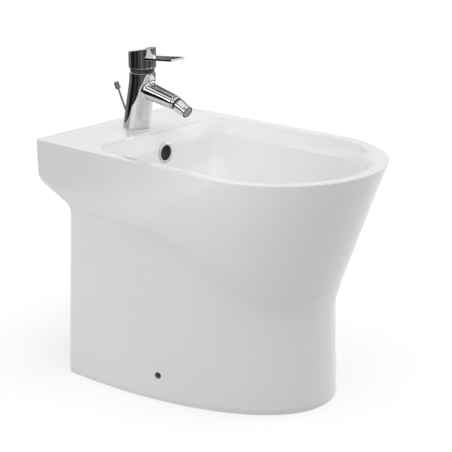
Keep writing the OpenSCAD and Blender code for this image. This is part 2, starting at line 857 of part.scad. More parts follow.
module aerator_insert() {
    color(c_dark_plastic)
    at_swivel(nozzle_slope)
        translate([0, 0, thread_z + 0.1])
            difference() {
                cylinder(r = bore_r - fit_gap, h = nozzle_l + aerator_lip_l - thread_z - 1.1);
                for (k = [0:6])
                    rotate([0, 0, k * 60])
                        translate([k == 6 ? 0 : 4.2, 0, -cut])
                            cylinder(r = 1.4, h = nozzle_l + aerator_lip_l, $fn = 24);
            }
}

module aerator_seal() {
    color(c_rubber)
    at_swivel(nozzle_slope)
        translate([0, 0, seal_z])
            difference() {
                cylinder(r = thread_r - fit_gap, h = 1.6);
                translate([0, 0, -cut])
                    cylinder(r = 6, h = 1.6 + 2 * cut);
            }
}

// ---- Mixer's fixing under the deck ----------------------------------------------
shoe_r = tap_hole_r + 5;
shoe_slot = 24.6;
washer_t = 3;
plate_t = 2.5;
stud_foot_z = deck_z - washer_t - plate_t - 16;
nut_af = 13;

module fixing_stud() {
    color(c_steel)
    translate([0, stud_y, stud_foot_z])
        cylinder(r = stud_r, h = rim_z - shank_h + 12 - stud_foot_z);
}

// Horseshoe with its slot open to the back, for the inlets and the rod
module horseshoe(t, r) {
    difference() {
        translate([0, tap_y, 0])
            cylinder(r = r, h = t);
        translate([-shoe_slot / 2, stud_y + stud_r + 2.6, -cut])
            cube([shoe_slot, 60, t + 2 * cut]);
        translate([0, stud_y, -cut])
            cylinder(r = stud_r + 0.3, h = t + 2 * cut);
    }
}

module horseshoe_washer() {
    color(c_rubber)
    translate([0, 0, deck_z - washer_t])
        horseshoe(washer_t, shoe_r);
}

module horseshoe_plate() {
    color(c_steel)
    translate([0, 0, deck_z - washer_t - plate_t])
        horseshoe(plate_t, shoe_r - 1);
}

module fixing_nut() {
    color(c_brass)
    translate([0, stud_y, deck_z - washer_t - plate_t - 7])
        difference() {
            cylinder(r = nut_af / 2 / cos(30), h = 7, $fn = 6);
            translate([0, 0, -cut])
                cylinder(r = stud_r + 0.02, h = 7 + 2 * cut);
        }
}

// ---- Lift rod and its clamp ---------------------------------------------------
clamp_drop = 7.5;
clamp_z = pivot_h - clamp_drop;
clamp_y = rod_deck_y - (rim_z - clamp_z) * tan(rod_lean);
rod_foot = 9;
rod_down_l = (rim_z - clamp_z) / cos(rod_lean) - rod_foot;
eye_r = pivot_rod_r + 2;
clamp_w = 14;
clamp_d = 12;

module lift_rod() {
    color(c_chrome)
    at_rod()
        translate([0, 0, -rod_down_l])
            cylinder(r = rod_r, h = rod_down_l + rod_visible_l + 5, $fn = 32);
}

module lift_knob() {
    color(c_chrome)
    at_rod()
        translate([0, 0, rod_visible_l])
            difference() {
                union() {
                    cylinder(r1 = knob_r - 0.6, r2 = knob_r, h = 0.8);
                    translate([0, 0, 0.8])
                        cylinder(r = knob_r, h = knob_l - 1.6);
                    translate([0, 0, knob_l - 0.8])
                        cylinder(r1 = knob_r, r2 = knob_r - 0.8, h = 0.8);
                }
                translate([0, 0, -cut])
                    cylinder(r = rod_r + 0.02, h = 5.1 + cut, $fn = 32);
            }
}

// Local +Z points up along the rod, from the centre of the clamp's eye
module at_clamp() {
    translate([0, clamp_y, clamp_z])
        rotate([-rod_lean, 0, 0])
            children();
}

module rod_clamp() {
    color(c_steel)
    difference() {
        at_clamp()
            translate([-clamp_w / 2, -clamp_d / 2, -8])
                cube([clamp_w, clamp_d, 27]);
        at_clamp()
            translate([0, 0, rod_foot - 0.2])
                cylinder(r = rod_r + 0.02, h = 30, $fn = 32);
        // Screw hole, and the eye that the pivot rod passes through
        at_clamp()
            translate([-clamp_w, 0, 14])
                rotate([0, 90, 0])
                    cylinder(r = 2.02, h = clamp_w, $fn = 32);
        translate([0, clamp_y - 20, clamp_z])
            rotate([-90, 0, 0])
                cylinder(r = eye_r, h = 40, $fn = 48);
    }
}

module clamp_screw() {
    color(c_brass)
    at_clamp()
        translate([-clamp_w / 2 - 7, 0, 14])
            rotate([0, 90, 0])
                union() {
                    cylinder(r = 5, h = 6.8, $fn = 32);
                    cylinder(r = 2, h = 7 + clamp_w / 2 - rod_r, $fn = 32);
                }
}

// ---- Pivot --------------------------------------------------------------------
pivot_y = waste_y + pivot_offset;
pivot_arm = clamp_y - pivot_y;
rest_angle = atan(clamp_drop / pivot_arm);
top_angle = atan((rod_travel * cos(rod_lean) - clamp_drop) / (pivot_arm + rod_travel * sin(rod_lean)));
pivot_swing = rest_angle + top_angle;
plug_travel = pivot_offset * (sin(rest_angle) + sin(top_angle));
port_bore_r = 7.2;
port_r = 10.5;
port_end = 7;
swing_hole_r = 4.6;
socket_gap = 0.35;

// Local +Z points to the back, from the ball's centre
module at_pivot(angle = 0) {
    translate([0, pivot_y, pivot_h])
        rotate([-90 - angle, 0, 0])
            children();
}

module pivot_rod() {
    color(c_steel)
    at_pivot(rest_angle) {
        sphere(r = pivot_ball_r);
        translate([0, 0, -pivot_offset - 3])
            cylinder(r = pivot_rod_r, h = pivot_offset + 3 + pivot_arm + rod_travel * sin(rod_lean) + 10);
    }
}

module pivot_seats() {
    color(c_white_plastic)
    for (place = [-6.5, 2])
        difference() {
            at_pivot()
                translate([0, 0, place])
                    cylinder(r = port_bore_r - fit_gap, h = 4.5);
            at_pivot()
                sphere(r = pivot_ball_r + socket_gap);
            at_pivot()
                translate([0, 0, -20])
                    cylinder(r = 3.9, h = 40);
        }
}

module pivot_nut() {
    nut_start = 1;
    nut_end = port_end + 4;
    color(c_chrome)
    at_pivot()
        difference() {
            translate([0, 0, nut_start])
                cylinder(r = 14.5, h = nut_end - nut_start, $fn = 6);
            translate([0, 0, nut_start - cut])
                cylinder(r = port_r + fit_gap, h = port_end + 0.1 - nut_start + cut);
            translate([0, 0, 0])
                cylinder(r = swing_hole_r, h = 30);
        }
}

// ---- Waste --------------------------------------------------------------------
gasket_t = 1.5;
flange_z = floor_z - 3 + gasket_t;
flange_t = 3;
tube_r = 20.4;
tube_in_r = 18.2;
tube_foot_z = pivot_h + 15;
plug_seat_z = floor_z - 4;
body_gasket_t = 4.5;
shell_top_z = boss_bottom_z - body_gasket_t;
shell_r = 24.5;
shell_bore_r = 17;
shell_foot_z = pivot_h - 37;
spigot_out_r = 19;
tail_top_z = shell_foot_z + 10;
tail_top_r = tail_r + 0.6;
tail_step_z = shell_foot_z - 10;

module waste_flange() {
    color(c_chrome)
    translate([0, waste_y, 0])
        difference() {
            union() {
                translate([0, 0, flange_z])
                    cylinder(r1 = flange_r, r2 = flange_r - 2, h = flange_t);
                translate([0, 0, tube_foot_z])
                    cylinder(r = tube_r, h = flange_z - tube_foot_z + 1);
            }
            translate([0, 0, tube_foot_z - cut])
                cylinder(r = tube_in_r, h = flange_z - tube_foot_z + 20);
            translate([0, 0, plug_seat_z])
                cylinder(r = tube_in_r + 1.5, h = 20);
            // Slots that take the overflow's water
            for (turn = [0, 90])
                rotate([0, 0, turn])
                    translate([-30, -6, duct_z - duct_h / 2])
                        cube([60, 12, duct_h]);
        }
}

module flange_gasket() {
    color(c_rubber)
    translate([0, waste_y, floor_z - 3])
        difference() {
            cylinder(r = flange_r - 0.5, h = gasket_t);
            translate([0, 0, -cut])
                cylinder(r = waste_hole_r + 0.5, h = gasket_t + 2 * cut);
        }
}

module body_gasket() {
    color(c_rubber)
    translate([0, waste_y, shell_top_z])
        difference() {
            cylinder(r = boss_r - 2, h = body_gasket_t);
            translate([0, 0, -cut])
                cylinder(r = tube_r + 0.3, h = body_gasket_t + 2 * cut);
        }
}

module waste_body() {
    color(c_chrome)
    difference() {
        union() {
            translate([0, waste_y, shell_top_z - 6])
                cylinder(r = boss_r - 3, h = 6);
            translate([0, waste_y, shell_foot_z + 12])
                cylinder(r = shell_r, h = shell_top_z - shell_foot_z - 13);
            translate([0, waste_y, shell_foot_z])
                cylinder(r = spigot_out_r, h = 13);
            at_pivot()
                translate([0, 0, -pivot_offset + 18])
                    cylinder(r = port_r, h = pivot_offset - 18 + port_end);
        }
        translate([0, waste_y, tube_foot_z - 2])
            cylinder(r = tube_r + 0.3, h = 60);
        translate([0, waste_y, tail_top_z + 3])
            cylinder(r = shell_bore_r, h = 60);
        translate([0, waste_y, shell_foot_z - cut])
            cylinder(r = tail_r - tail_t, h = 30);
        translate([0, waste_y, shell_foot_z - cut])
            cylinder(r = tail_top_r + 0.2, h = tail_top_z - shell_foot_z + cut);
        // The port's bore for the ball, and the hole on into the waste
        at_pivot()
            translate([0, 0, -6.6])
                cylinder(r = port_bore_r, h = 30);
        at_pivot()
            translate([0, 0, -20])
                cylinder(r = swing_hole_r, h = 30);
    }
}

module tailpiece() {
    color(c_chrome)
    translate([0, waste_y, tail_end_h])
        difference() {
            union() {
                cylinder(r = tail_r, h = tail_step_z - tail_end_h + 2);
                translate([0, 0, tail_step_z - tail_end_h])
                    cylinder(r = tail_top_r, h = tail_top_z - tail_step_z);
            }
            translate([0, 0, -cut])
                cylinder(r = tail_r - tail_t, h = tail_top_z - tail_end_h + 2 * cut);
        }
}

tail_seal_t = 3;

module tail_seal() {
    color(c_rubber)
    translate([0, waste_y, shell_foot_z - tail_seal_t])
        difference() {
            cylinder(r = spigot_out_r - 0.2, h = tail_seal_t);
            translate([0, 0, -cut])
                cylinder(r = tail_top_r + 0.05, h = tail_seal_t + 2 * cut);
        }
}

module tail_nut() {
    color(c_chrome)
    translate([0, waste_y, shell_foot_z - tail_seal_t - 3])
        difference() {
            cylinder(r = spigot_out_r + 5, h = 14, $fn = 8);
            translate([0, 0, -cut])
                cylinder(r = tail_top_r + 0.3, h = 20);
            translate([0, 0, 3])
                cylinder(r = spigot_out_r + fit_gap, h = 20);
        }
}

plug_rest_z = plug_seat_z + 0.5 + plug_travel;
plug_cap_r = tube_in_r + 1.1;
stem_foot_z = pivot_h + pivot_offset * sin(rest_angle) + pivot_rod_r / cos(rest_angle) + 0.8;
cap_t_edge = 2.5;
dome_rise = 1.6;
dome_sphere_r = (plug_cap_r * plug_cap_r + dome_rise * dome_rise) / (2 * dome_rise);

module plug_cap() {
    color(c_chrome)
    translate([0, waste_y, plug_rest_z + 2])
        union() {
            cylinder(r = plug_cap_r, h = cap_t_edge);
            intersection() {
                translate([0, 0, cap_t_edge + dome_rise - dome_sphere_r])
                    sphere(r = dome_sphere_r, $fn = 128);
                translate([0, 0, cap_t_edge])
                    cylinder(r = plug_cap_r, h = 5);
            }
        }
}

module plug_seal() {
    color(c_rubber)
    translate([0, waste_y, plug_rest_z])
        difference() {
            cylinder(r = plug_cap_r - 0.2, h = 2);
            translate([0, 0, -cut])
                cylinder(r = 5.1, h = 2 + 2 * cut);
        }
}

module plug_stem() {
    fin_z = plug_rest_z - 12;
    color(c_white_plastic)
    translate([0, waste_y, 0])
        union() {
            translate([0, 0, stem_foot_z])
                cylinder(r = 3.2, h = plug_rest_z + 1 - stem_foot_z);
            translate([0, 0, plug_rest_z - 3])
                cylinder(r = 5, h = 5);
            for (turn = [45, 135])
                rotate([0, 0, turn])
                    translate([-tube_in_r + 0.6, -1, fin_z - 8])
                        cube([2 * tube_in_r - 1.2, 2, 16]);
        }
}

// ---- Floor fixings --------------------------------------------------------------
upright_x = base_w / 2 - bracket_inset;
upright_h = side_hole_h + 20;
bracket_l = floor_hole_pitch + 18;
plate_w = 49;
floor_hole_x = upright_x - 29;
head_x = upright_x + 16;

module floor_bracket(side) {
    color(c_steel)
    translate([0, side_hole_y, 0])
        scale_x(side)
            difference() {
                union() {
                    translate([upright_x - plate_w, -bracket_l / 2, 0])
                        cube([plate_w, bracket_l, bracket_t]);
                    translate([upright_x - bracket_t, -bracket_l / 2, 0])
                        cube([bracket_t, bracket_l, upright_h]);
                }
                for (place = [-0.5, 0.5])
                    translate([floor_hole_x, place * floor_hole_pitch, -cut])
                        cylinder(r = floor_hole_r, h = bracket_t + 2 * cut, $fn = 48);
                translate([upright_x - bracket_t - cut, 0, side_hole_h])
                    rotate([0, 90, 0])
                        cylinder(r = screw_r + 0.02, h = bracket_t + 2 * cut, $fn = 48);
            }
}

module scale_x(side) {
    mirror([side < 0 ? 1 : 0, 0, 0])
        children();
}

module floor_bracket_left() {
    floor_bracket(-1);
}

module floor_bracket_right() {
    floor_bracket(1);
}

module side_screws() {
    color(c_steel)
    for (side = [-1, 1])
        scale_x(side)
            translate([upright_x - bracket_t - 8, side_hole_y, side_hole_h])
                rotate([0, 90, 0])
                    difference() {
                        union() {
                            cylinder(r = screw_r, h = head_x - upright_x + bracket_t + 9, $fn = 48);
                            translate([0, 0, head_x - upright_x + bracket_t + 8])
                                cylinder(r = side_hole_r - 0.4, h = 4, $fn = 48);
                        }
                        translate([0, 0, head_x - upright_x + bracket_t + 9.5])
                            cylinder(r = 2.4, h = 4, $fn = 6);
                    }
}

module side_sleeves() {
    color(c_white_plastic)
    for (side = [-1, 1])
        scale_x(side)
            translate([upright_x, side_hole_y, side_hole_h])
                rotate([0, 90, 0])
                    difference() {
                        cylinder(r = side_hole_r - fit_gap, h = head_x - upright_x, $fn = 48);
                        translate([0, 0, -cut])
                            cylinder(r = screw_r + fit_gap, h = head_x, $fn = 48);
                    }
}

ceramic_body();
overflow_ring();
mixer_body();
base_seal();
trim_ring();
cartridge_nut();
cartridge_body();
cartridge_seals();
ceramic_discs();
cartridge_turret();
stem_pin();
cartridge_stem();
handle();
handle_screw();
handle_plug();
swivel_ball();
swivel_washer();
ball_seat();
nozzle_body();
aerator_housing();
aerator_insert();
aerator_seal();
fixing_stud();
horseshoe_washer();
horseshoe_plate();
fixing_nut();
lift_rod();
lift_knob();
rod_clamp();
clamp_screw();
pivot_rod();
pivot_nut();
pivot_seats();
waste_flange();
flange_gasket();
waste_body();
body_gasket();
tailpiece();
tail_nut();
tail_seal();
plug_cap();
plug_seal();
plug_stem();
floor_bracket_left();
floor_bracket_right();
side_screws();
side_sleeves();
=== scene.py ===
import json
import math

import bmesh
import bpy
from mathutils import Matrix, Vector


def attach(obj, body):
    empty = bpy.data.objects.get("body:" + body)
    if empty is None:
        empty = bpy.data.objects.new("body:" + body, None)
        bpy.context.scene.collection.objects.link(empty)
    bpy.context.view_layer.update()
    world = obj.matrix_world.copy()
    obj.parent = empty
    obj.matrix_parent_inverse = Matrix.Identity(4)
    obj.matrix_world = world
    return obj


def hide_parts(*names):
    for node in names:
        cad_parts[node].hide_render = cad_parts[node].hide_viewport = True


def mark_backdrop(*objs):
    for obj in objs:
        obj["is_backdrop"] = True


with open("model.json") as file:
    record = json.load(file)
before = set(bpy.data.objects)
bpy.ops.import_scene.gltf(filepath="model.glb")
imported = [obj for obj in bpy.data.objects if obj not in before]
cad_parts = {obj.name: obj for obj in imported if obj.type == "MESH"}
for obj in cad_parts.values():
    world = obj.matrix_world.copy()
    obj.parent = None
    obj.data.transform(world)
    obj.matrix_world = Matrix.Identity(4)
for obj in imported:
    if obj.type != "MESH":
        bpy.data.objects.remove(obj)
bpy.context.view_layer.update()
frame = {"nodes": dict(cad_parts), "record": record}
NODES = frame["nodes"]

MM = 0.001

# ---- Main sizes, in millimetres, the same as the solid model's -----------------
RIM_Z = 400.0  # top of the rim
BACK_Y = 275.0
FRONT_Y = -275.0
RIM_HALF = 175.0
RIM_YS = FRONT_Y + RIM_HALF  # where the round front meets the straight sides
MOUTH_BACK_Y = 148.0
PED_BACK_Y = 204.0
BASE_BACK_Y = 213.0
BASE_FRONT_Y = -205.0
WAIST_FRONT_Y = -193.0
WASTE_Y = 20.0  # axis of the waste
FLOOR_Z = 250.0  # floor of the bowl
DECK_T = 14.0
TAP_Y = 205.5  # axis of the tap hole
HEAD_Y = 189.5  # axis of the mixer's upright head
SWIVEL_Y = 114.3  # centre of the nozzle's ball


# ---- Mesh helpers ----------------------------------------------------------------
def new_object(name, verts, faces, scale=MM):
    mesh = bpy.data.meshes.new(name)
    mesh.from_pydata([[c * scale for c in v] for v in verts], [], faces)
    mesh.validate()
    obj = bpy.data.objects.new(name, mesh)
    bpy.context.scene.collection.objects.link(obj)
    return obj


def clean(obj, merge=0.02):
    """Merges doubles and turns every normal outward."""
    bm = bmesh.new()
    bm.from_mesh(obj.data)
    bmesh.ops.remove_doubles(bm, verts=bm.verts, dist=merge * MM)
    bmesh.ops.recalc_face_normals(bm, faces=bm.faces)
    bm.to_mesh(obj.data)
    bm.free()
    return obj


def smooth(obj, angle):
    """Smooth shading, with edges sharper than the angle kept."""
    obj.data.shade_smooth()
    obj.data.set_sharp_from_angle(angle=math.radians(angle))
    return obj


def apply_modifiers(obj):
    deps = bpy.context.evaluated_depsgraph_get()
    mesh = bpy.data.meshes.new_from_object(obj.evaluated_get(deps))
    old = obj.data
    obj.modifiers.clear()
    obj.data = mesh
    bpy.data.meshes.remove(old)
    return obj


def bevel(obj, width, segments=3, angle=35):
    mod = obj.modifiers.new("Bevel", "BEVEL")
    mod.width = width * MM
    mod.segments = segments
    mod.limit_method = "ANGLE"
    mod.angle_limit = math.radians(angle)
    mod.miter_outer = "MITER_ARC"
    return apply_modifiers(obj)


def weighted(obj):
    """Normals that follow the large faces, with sharp edges kept."""
    mod = obj.modifiers.new("Weighted", "WEIGHTED_NORMAL")
    mod.keep_sharp = True
    return apply_modifiers(obj)


def boolean(obj, tool, operation="DIFFERENCE"):
    mod = obj.modifiers.new("Boolean", "BOOLEAN")
    mod.operation = operation
    mod.solver = "EXACT"
    mod.object = tool
    apply_modifiers(obj)
    bpy.data.objects.remove(tool)
    return obj


def join(objects, name):
    """One mesh made of several, all of them in place."""
    bm = bmesh.new()
    for o in objects:
        bm.from_mesh(o.data)
        bpy.data.objects.remove(o)
    mesh = bpy.data.meshes.new(name)
    bm.to_mesh(mesh)
    bm.free()
    obj = bpy.data.objects.new(name, mesh)
    bpy.context.scene.collection.objects.link(obj)
    return obj


def skin(name, lines, merge=0.005, closed=False):
    """A surface through lines of points that go once round. Each line is open or closed."""
    turns, m = len(lines), len(lines[0])
    verts = [tuple(p) for line in lines for p in line]
    faces = []
    for i in range(turns):
        i2 = (i + 1) % turns
        for j in range(m if closed else m - 1):
            j2 = (j + 1) % m
            faces.append((i * m + j, i2 * m + j, i2 * m + j2, i * m + j2))
    return clean(new_object(name, verts, faces), merge)


def curve(start, corner, end, steps):
    """Points on the arc that leaves start toward the corner and ends at end."""
    return [start * (1 - t) ** 2 + corner * 2 * t * (1 - t) + end * t * t
            for t in [k / steps for k in range(steps + 1)]]


def rounded(points, radii):
    """A polyline with its corners rounded, each by its own radius, limited by its sides."""
    out = []
    last = len(points) - 1
    for i, p in enumerate(points):
        p = Vector(p)
        if i in (0, last) or radii[i] <= 0:
            out.append(p)
            continue
        a, b = Vector(points[i - 1]) - p, Vector(points[i + 1]) - p
        if a.length < 1e-6 or b.length < 1e-6:
            out.append(p)
            continue
        half = a.angle(b) / 2
        reach = min(radii[i] / max(math.tan(half), 1e-3), a.length * 0.48, b.length * 0.48)
        out += curve(p + a.normalized() * reach, p, p + b.normalized() * reach, 4)
    return out


def lathe(name, profile, radii, turns=96):
    """Turns a closed profile of (radius, height) points about Z."""
    pts = [Vector((r, 0, z)) for r, z in profile]
    ring = rounded([pts[-1]] + pts + [pts[0]], [0] + list(radii) + [0])[1:-1]
    lines = []
    for i in range(turns):
        a = 2 * math.pi * i / turns
        lines.append([(p.x * math.cos(a), p.x * math.sin(a), p.z) for p in ring])
    return skin(name, lines, closed=True)


def place(obj, matrix):
    obj.data.transform(matrix)
    return obj


def shift(x, y, z):
    return Matrix.Translation(Vector((x, y, z)) * MM)


def tilt(degrees, axis="X"):
    return Matrix.Rotation(math.radians(degrees), 4, axis)


def box_mesh(name, lo, hi):
    v = [(x, y, z) for x in (lo[0], hi[0]) for y in (lo[1], hi[1]) for z in (lo[2], hi[2])]
    f = [(0, 1, 3, 2), (4, 6, 7, 5), (0, 4, 5, 1), (2, 3, 7, 6), (0, 2, 6, 4), (1, 5, 7, 3)]
    return clean(new_object(name, v, f))


def rod_mesh(name, radius, length, turns=64):
    return lathe(name, [(0, 0), (radius, 0), (radius, length), (0, length)], [0] * 4, turns)


# ---- Materials ---------------------------------------------------------------------
NOISE_LOW, NOISE_HIGH = 0.3, 0.7  # the part of a noise's range that is spread out


def material(name):
    mat = bpy.data.materials.new(name)
    mat.use_nodes = True
    tree = mat.node_tree
    return mat, tree, tree.nodes["Principled BSDF"]


def coordinates(tree, scale):
    coord = tree.nodes.new("ShaderNodeTexCoord")
    mapping = tree.nodes.new("ShaderNodeMapping")
    mapping.inputs["Scale"].default_value = scale
    tree.links.new(coord.outputs["Object"], mapping.inputs["Vector"])
    return mapping.outputs["Vector"]


def noise(tree, vector, scale, detail=3.0):
    node = tree.nodes.new("ShaderNodeTexNoise")
    node.inputs["Scale"].default_value = scale
    node.inputs["Detail"].default_value = detail
    node.inputs["Roughness"].default_value = 0.5
    tree.links.new(vector, node.inputs["Vector"])
    return node.outputs["Fac"]


def spread(tree, fac, low, high):
    """Maps a noise onto a range of values."""
    node = tree.nodes.new("ShaderNodeMapRange")
    node.inputs["From Min"].default_value = NOISE_LOW
    node.inputs["From Max"].default_value = NOISE_HIGH
    node.inputs["To Min"].default_value = low
    node.inputs["To Max"].default_value = high
    tree.links.new(fac, node.inputs["Value"])
    return node.outputs["Result"]


def tint(tree, fac, low, high):
    """A colour ramp between two close colours."""
    node = tree.nodes.new("ShaderNodeValToRGB")
    for element, at, colour in zip(node.color_ramp.elements, (NOISE_LOW, NOISE_HIGH), (low, high)):
        element.position = at
        element.color = (*colour, 1)
    tree.links.new(fac, node.inputs["Fac"])
    return node.outputs["Color"]


def bump(tree, height, strength, distance):
    node = tree.nodes.new("ShaderNodeBump")
    node.inputs["Strength"].default_value = strength
    node.inputs["Distance"].default_value = distance
    tree.links.new(height, node.inputs["Height"])
    return node.outputs["Normal"]


def surface(name, low, high, *, rough, scale, metallic=0.0, stretch=(1, 1, 1),
            bump_by=(0.1, 0.0002), bump_scale=400.0, coat=0.0, ior=1.5):
    """A material with fine colour variation, uneven roughness and a small bump."""
    mat, tree, shader = material(name)
    vector = coordinates(tree, stretch)
    base = noise(tree, vector, scale)
    tree.links.new(tint(tree, base, low, high), shader.inputs["Base Color"])
    uneven = noise(tree, vector, scale * 1.7)
    tree.links.new(spread(tree, uneven, *rough), shader.inputs["Roughness"])
    fine = noise(tree, vector, bump_scale, 2.0)
    tree.links.new(bump(tree, fine, *bump_by), shader.inputs["Normal"])
    shader.inputs["Metallic"].default_value = metallic
    shader.inputs["IOR"].default_value = ior
    shader.inputs["Coat Weight"].default_value = coat
    shader.inputs["Coat Roughness"].default_value = 0.05
    return mat


def grey(v, warm=0.0):
    return (v * (1 + warm), v, v * (1 - warm))


POLISHED = dict(metallic=1.0, scale=60.0, bump_by=(0.02, 0.0001), bump_scale=120.0)
MOULDED = dict(scale=150.0, bump_by=(0.1, 0.0001), bump_scale=700.0)
# Roughness and bump for the painted-shade materials of the overflow channel and the side holes.
SHADE_MATT_FINISH = dict(rough=(0.7, 0.85), scale=60.0, bump_by=(0.3, 0.0004), bump_scale=500.0)

china = surface("white_glaze", grey(0.895, 0.002), grey(0.92, 0.002), rough=(0.16, 0.24),
                scale=7.0, bump_by=(0.05, 0.0006), bump_scale=26.0, coat=0.25)
# Painted shade: a near-black colour on the overflow channel's walls, where the deep channel lies
# in shade.
channel_shade_paint = surface("channel_painted_shade", grey(0.045, 0.03), grey(0.070, 0.03), **SHADE_MATT_FINISH)
# Painted shade: a mid-grey colour on the side fixing holes' walls, where the deep holes lie in
# shade.
hole_shade_paint = surface("hole_painted_shade", grey(0.28, 0.02), grey(0.36, 0.02), **SHADE_MATT_FINISH)
chrome = surface("polished_chrome", grey(0.70, -0.008), grey(0.76, -0.008),
                 rough=(0.035, 0.075), **POLISHED)
brass = surface("turned_brass", (0.66, 0.48, 0.20), (0.78, 0.60, 0.29), metallic=1.0,
                rough=(0.2, 0.35), scale=120.0, stretch=(1, 1, 8), bump_by=(0.15, 0.0001),
                bump_scale=600.0)
steel = surface("satin_steel", grey(0.48), grey(0.60), metallic=1.0, rough=(0.28, 0.42),
                scale=90.0, stretch=(1, 1, 9), bump_by=(0.12, 0.0001), bump_scale=700.0)
rubber = surface("black_rubber", grey(0.018), grey(0.030), rough=(0.6, 0.8), scale=200.0,
                 bump_by=(0.25, 0.0002), bump_scale=900.0)
white_plastic = surface("white_nylon", grey(0.72, 0.01), grey(0.80, 0.01), rough=(0.4, 0.5),
                        **MOULDED)
grey_plastic = surface("grey_insert", grey(0.10), grey(0.15), rough=(0.35, 0.5), **MOULDED)
disc = surface("lapped_ceramic", grey(0.70, 0.02), grey(0.76, 0.02), rough=(0.15, 0.25),
               scale=150.0)
rod_chrome = surface("rod_chrome", grey(0.20, -0.008), grey(0.26, -0.008),
                     rough=(0.06, 0.12), **POLISHED)
# Painted shade: a dark colour for the trim ring in the gap under the cap, and for the faces that
# darken() paints.
shade_ring = surface("shade_ring", grey(0.050), grey(0.075), metallic=0.6, rough=(0.25, 0.4),
                     scale=90.0)
# Painted shade: a near-black colour on the recessed side screws, so that the fixing holes read
# dark with shade.
screws_painted_shade = surface("screws_painted_shade", grey(0.012), grey(0.022), rough=(0.5, 0.65), scale=90.0,
                      bump_by=(0.1, 0.0001), bump_scale=700.0, ior=1.35)
light_insert = surface("light_insert", grey(0.40), grey(0.50), rough=(0.35, 0.5), **MOULDED)
plug_mat = surface("index_plug", grey(0.10, -0.02), grey(0.14, -0.02), rough=(0.12, 0.2),
                   scale=150.0, coat=0.5)

BY_SLOT = {"china": china, "chrome": chrome, "brass": brass, "steel": steel, "rubber": rubber,
           "white_plastic": white_plastic, "grey_plastic": grey_plastic, "ceramic_disc": disc,
           "index_plug": plug_mat}
# Painted shade goes on the trim ring and on the side screws.
BY_NODE = {"lift_rod": rod_chrome, "trim_ring": shade_ring, "aerator_insert": light_insert,
           "side_screws": screws_painted_shade, "side_sleeves": rubber}
for part in frame["record"]["subparts"]:
    node = NODES[part["node"]]
    node.data.materials.clear()
    node.data.materials.append(BY_NODE.get(part["node"], BY_SLOT[part["material_slot"]]))
    smooth(node, 28)


def finish_piece(obj, mat, body, *replaced, slot):
    weighted(obj)
    obj.data.materials.clear()
    obj.data.materials.append(mat)
    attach(obj, body)
    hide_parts(*replaced)
    return obj


def darken(obj, matrix, low, high, reach):
    """Paints shade on a turned piece's faces between two heights on its axis, outside a radius."""
    obj.data.materials.append(shade_ring)
    to_axis = matrix.inverted()
    for face in obj.data.polygons:
        p = (to_axis @ face.center) / MM
        if low < p.z < high and math.hypot(p.x, p.y) > reach:
            face.material_index = 1


# ---- Camera, fitted to the photograph ------------------------------------------------
camera = bpy.data.objects.new("camera", bpy.data.cameras.new("camera"))
bpy.context.scene.collection.objects.link(camera)
bpy.context.scene.camera = camera
eye = Vector((-1.5822, -1.2993, 0.9167))
aim = Vector((0.0, 0.0509, 0.2))
camera.location = eye
camera.rotation_euler = (aim - eye).to_track_quat("-Z", "Y").to_euler()
camera.data.lens = 103.15
camera.data.sensor_width = 36.0
camera.data.shift_x = 0.0468
camera.data.shift_y = 0.0652
camera.data.clip_end = 50.0


# ---- Ceramic body --------------------------------------------------------------------
# Points on half an outline: round front, straight side, back corner, back
FRONT_N, SIDE_N, CORNER_N, BACK_N = 44, 12, 8, 10
# The crease under the bowl: its height at the side, its fall to the front and that fall's run
CREASE_Z, CREASE_FALL, CREASE_Y, CREASE_RUN = 289.0, 108.0, 30.0, 235.0
# The rise of the crease under the back shelf, and how softly it starts
SHELF_RISE, SHELF_Y, SHELF_SOFT = 0.344, 150.0, 14.0
# Where the form changes from the sides' to the shelf's
BLEND_Y, BLEND_RUN = 100.0, 60.0
# Where the leaning front ends
LEAN_Y, LEAN_Z = -201.0, 181.0
WALL = 11.0  # the bowl's wall
BACK_WALL = 13.0
MAX_STRETCH, MAX_PARTS = 16.0, 14  # a flat stretch is cut into parts of about this length


def half_plan(o):
    """Half an outline, from the front to the middle of the back.

    An outline is (half width, back, start of the straight side, front, exponent of the
    round front, radius of the back corner).
    """
    w, back, ys, front, e, rc = o
    pts = []
    for k in range(FRONT_N + 1):
        a = math.pi / 2 * k / FRONT_N
        x = w * math.sin(a) ** (2 / e)
        y = ys - (ys - front) * max(math.cos(a), 0.0) ** (2 / e)
        pts.append((x, y))
    for k in range(1, SIDE_N + 1):
        pts.append((w, ys + (back - rc - ys) * k / SIDE_N))
    for k in range(1, CORNER_N + 1):
        a = math.pi / 2 * k / CORNER_N
        pts.append((w - rc + rc * math.cos(a), back - rc + rc * math.sin(a)))
    for k in range(1, BACK_N + 1):
        pts.append(((w - rc) * (1 - k / BACK_N), back))
    return pts


def plan(o):
    h = half_plan(o)
    return h + [(-x, y) for x, y in h[-2:0:-1]]


def inset(o, d):
    return (o[0] - d, o[1] - d, o[2], o[3] + d, o[4], max(o[5] - d, 3.0))


def inner(o, d):
    """The inside of an outline's wall, with the flat back wall of the pedestal."""
    back = PED_BACK_Y - BACK_WALL
    return (o[0] - d, back, min(o[2], back - 25), o[3] + d, o[4], 8.0)


def ease(t):
    t = min(1.0, max(0.0, t))
    return t * t * (3 - 2 * t)


def backness(y):
    """0 at the front and sides, 1 under the shelf."""
    return min(1.0, max(0.0, (y - BLEND_Y) / BLEND_RUN))


def crease(y):
    """Height of the crease under the bowl's outer form."""
    z = CREASE_Z - CREASE_FALL * ease((CREASE_Y - y) / CREASE_RUN)
    return z + SHELF_RISE * SHELF_SOFT * math.log1p(math.exp((y - SHELF_Y) / SHELF_SOFT))


def level(o, z):
    return [(x, y, z) for x, y in plan(o)]


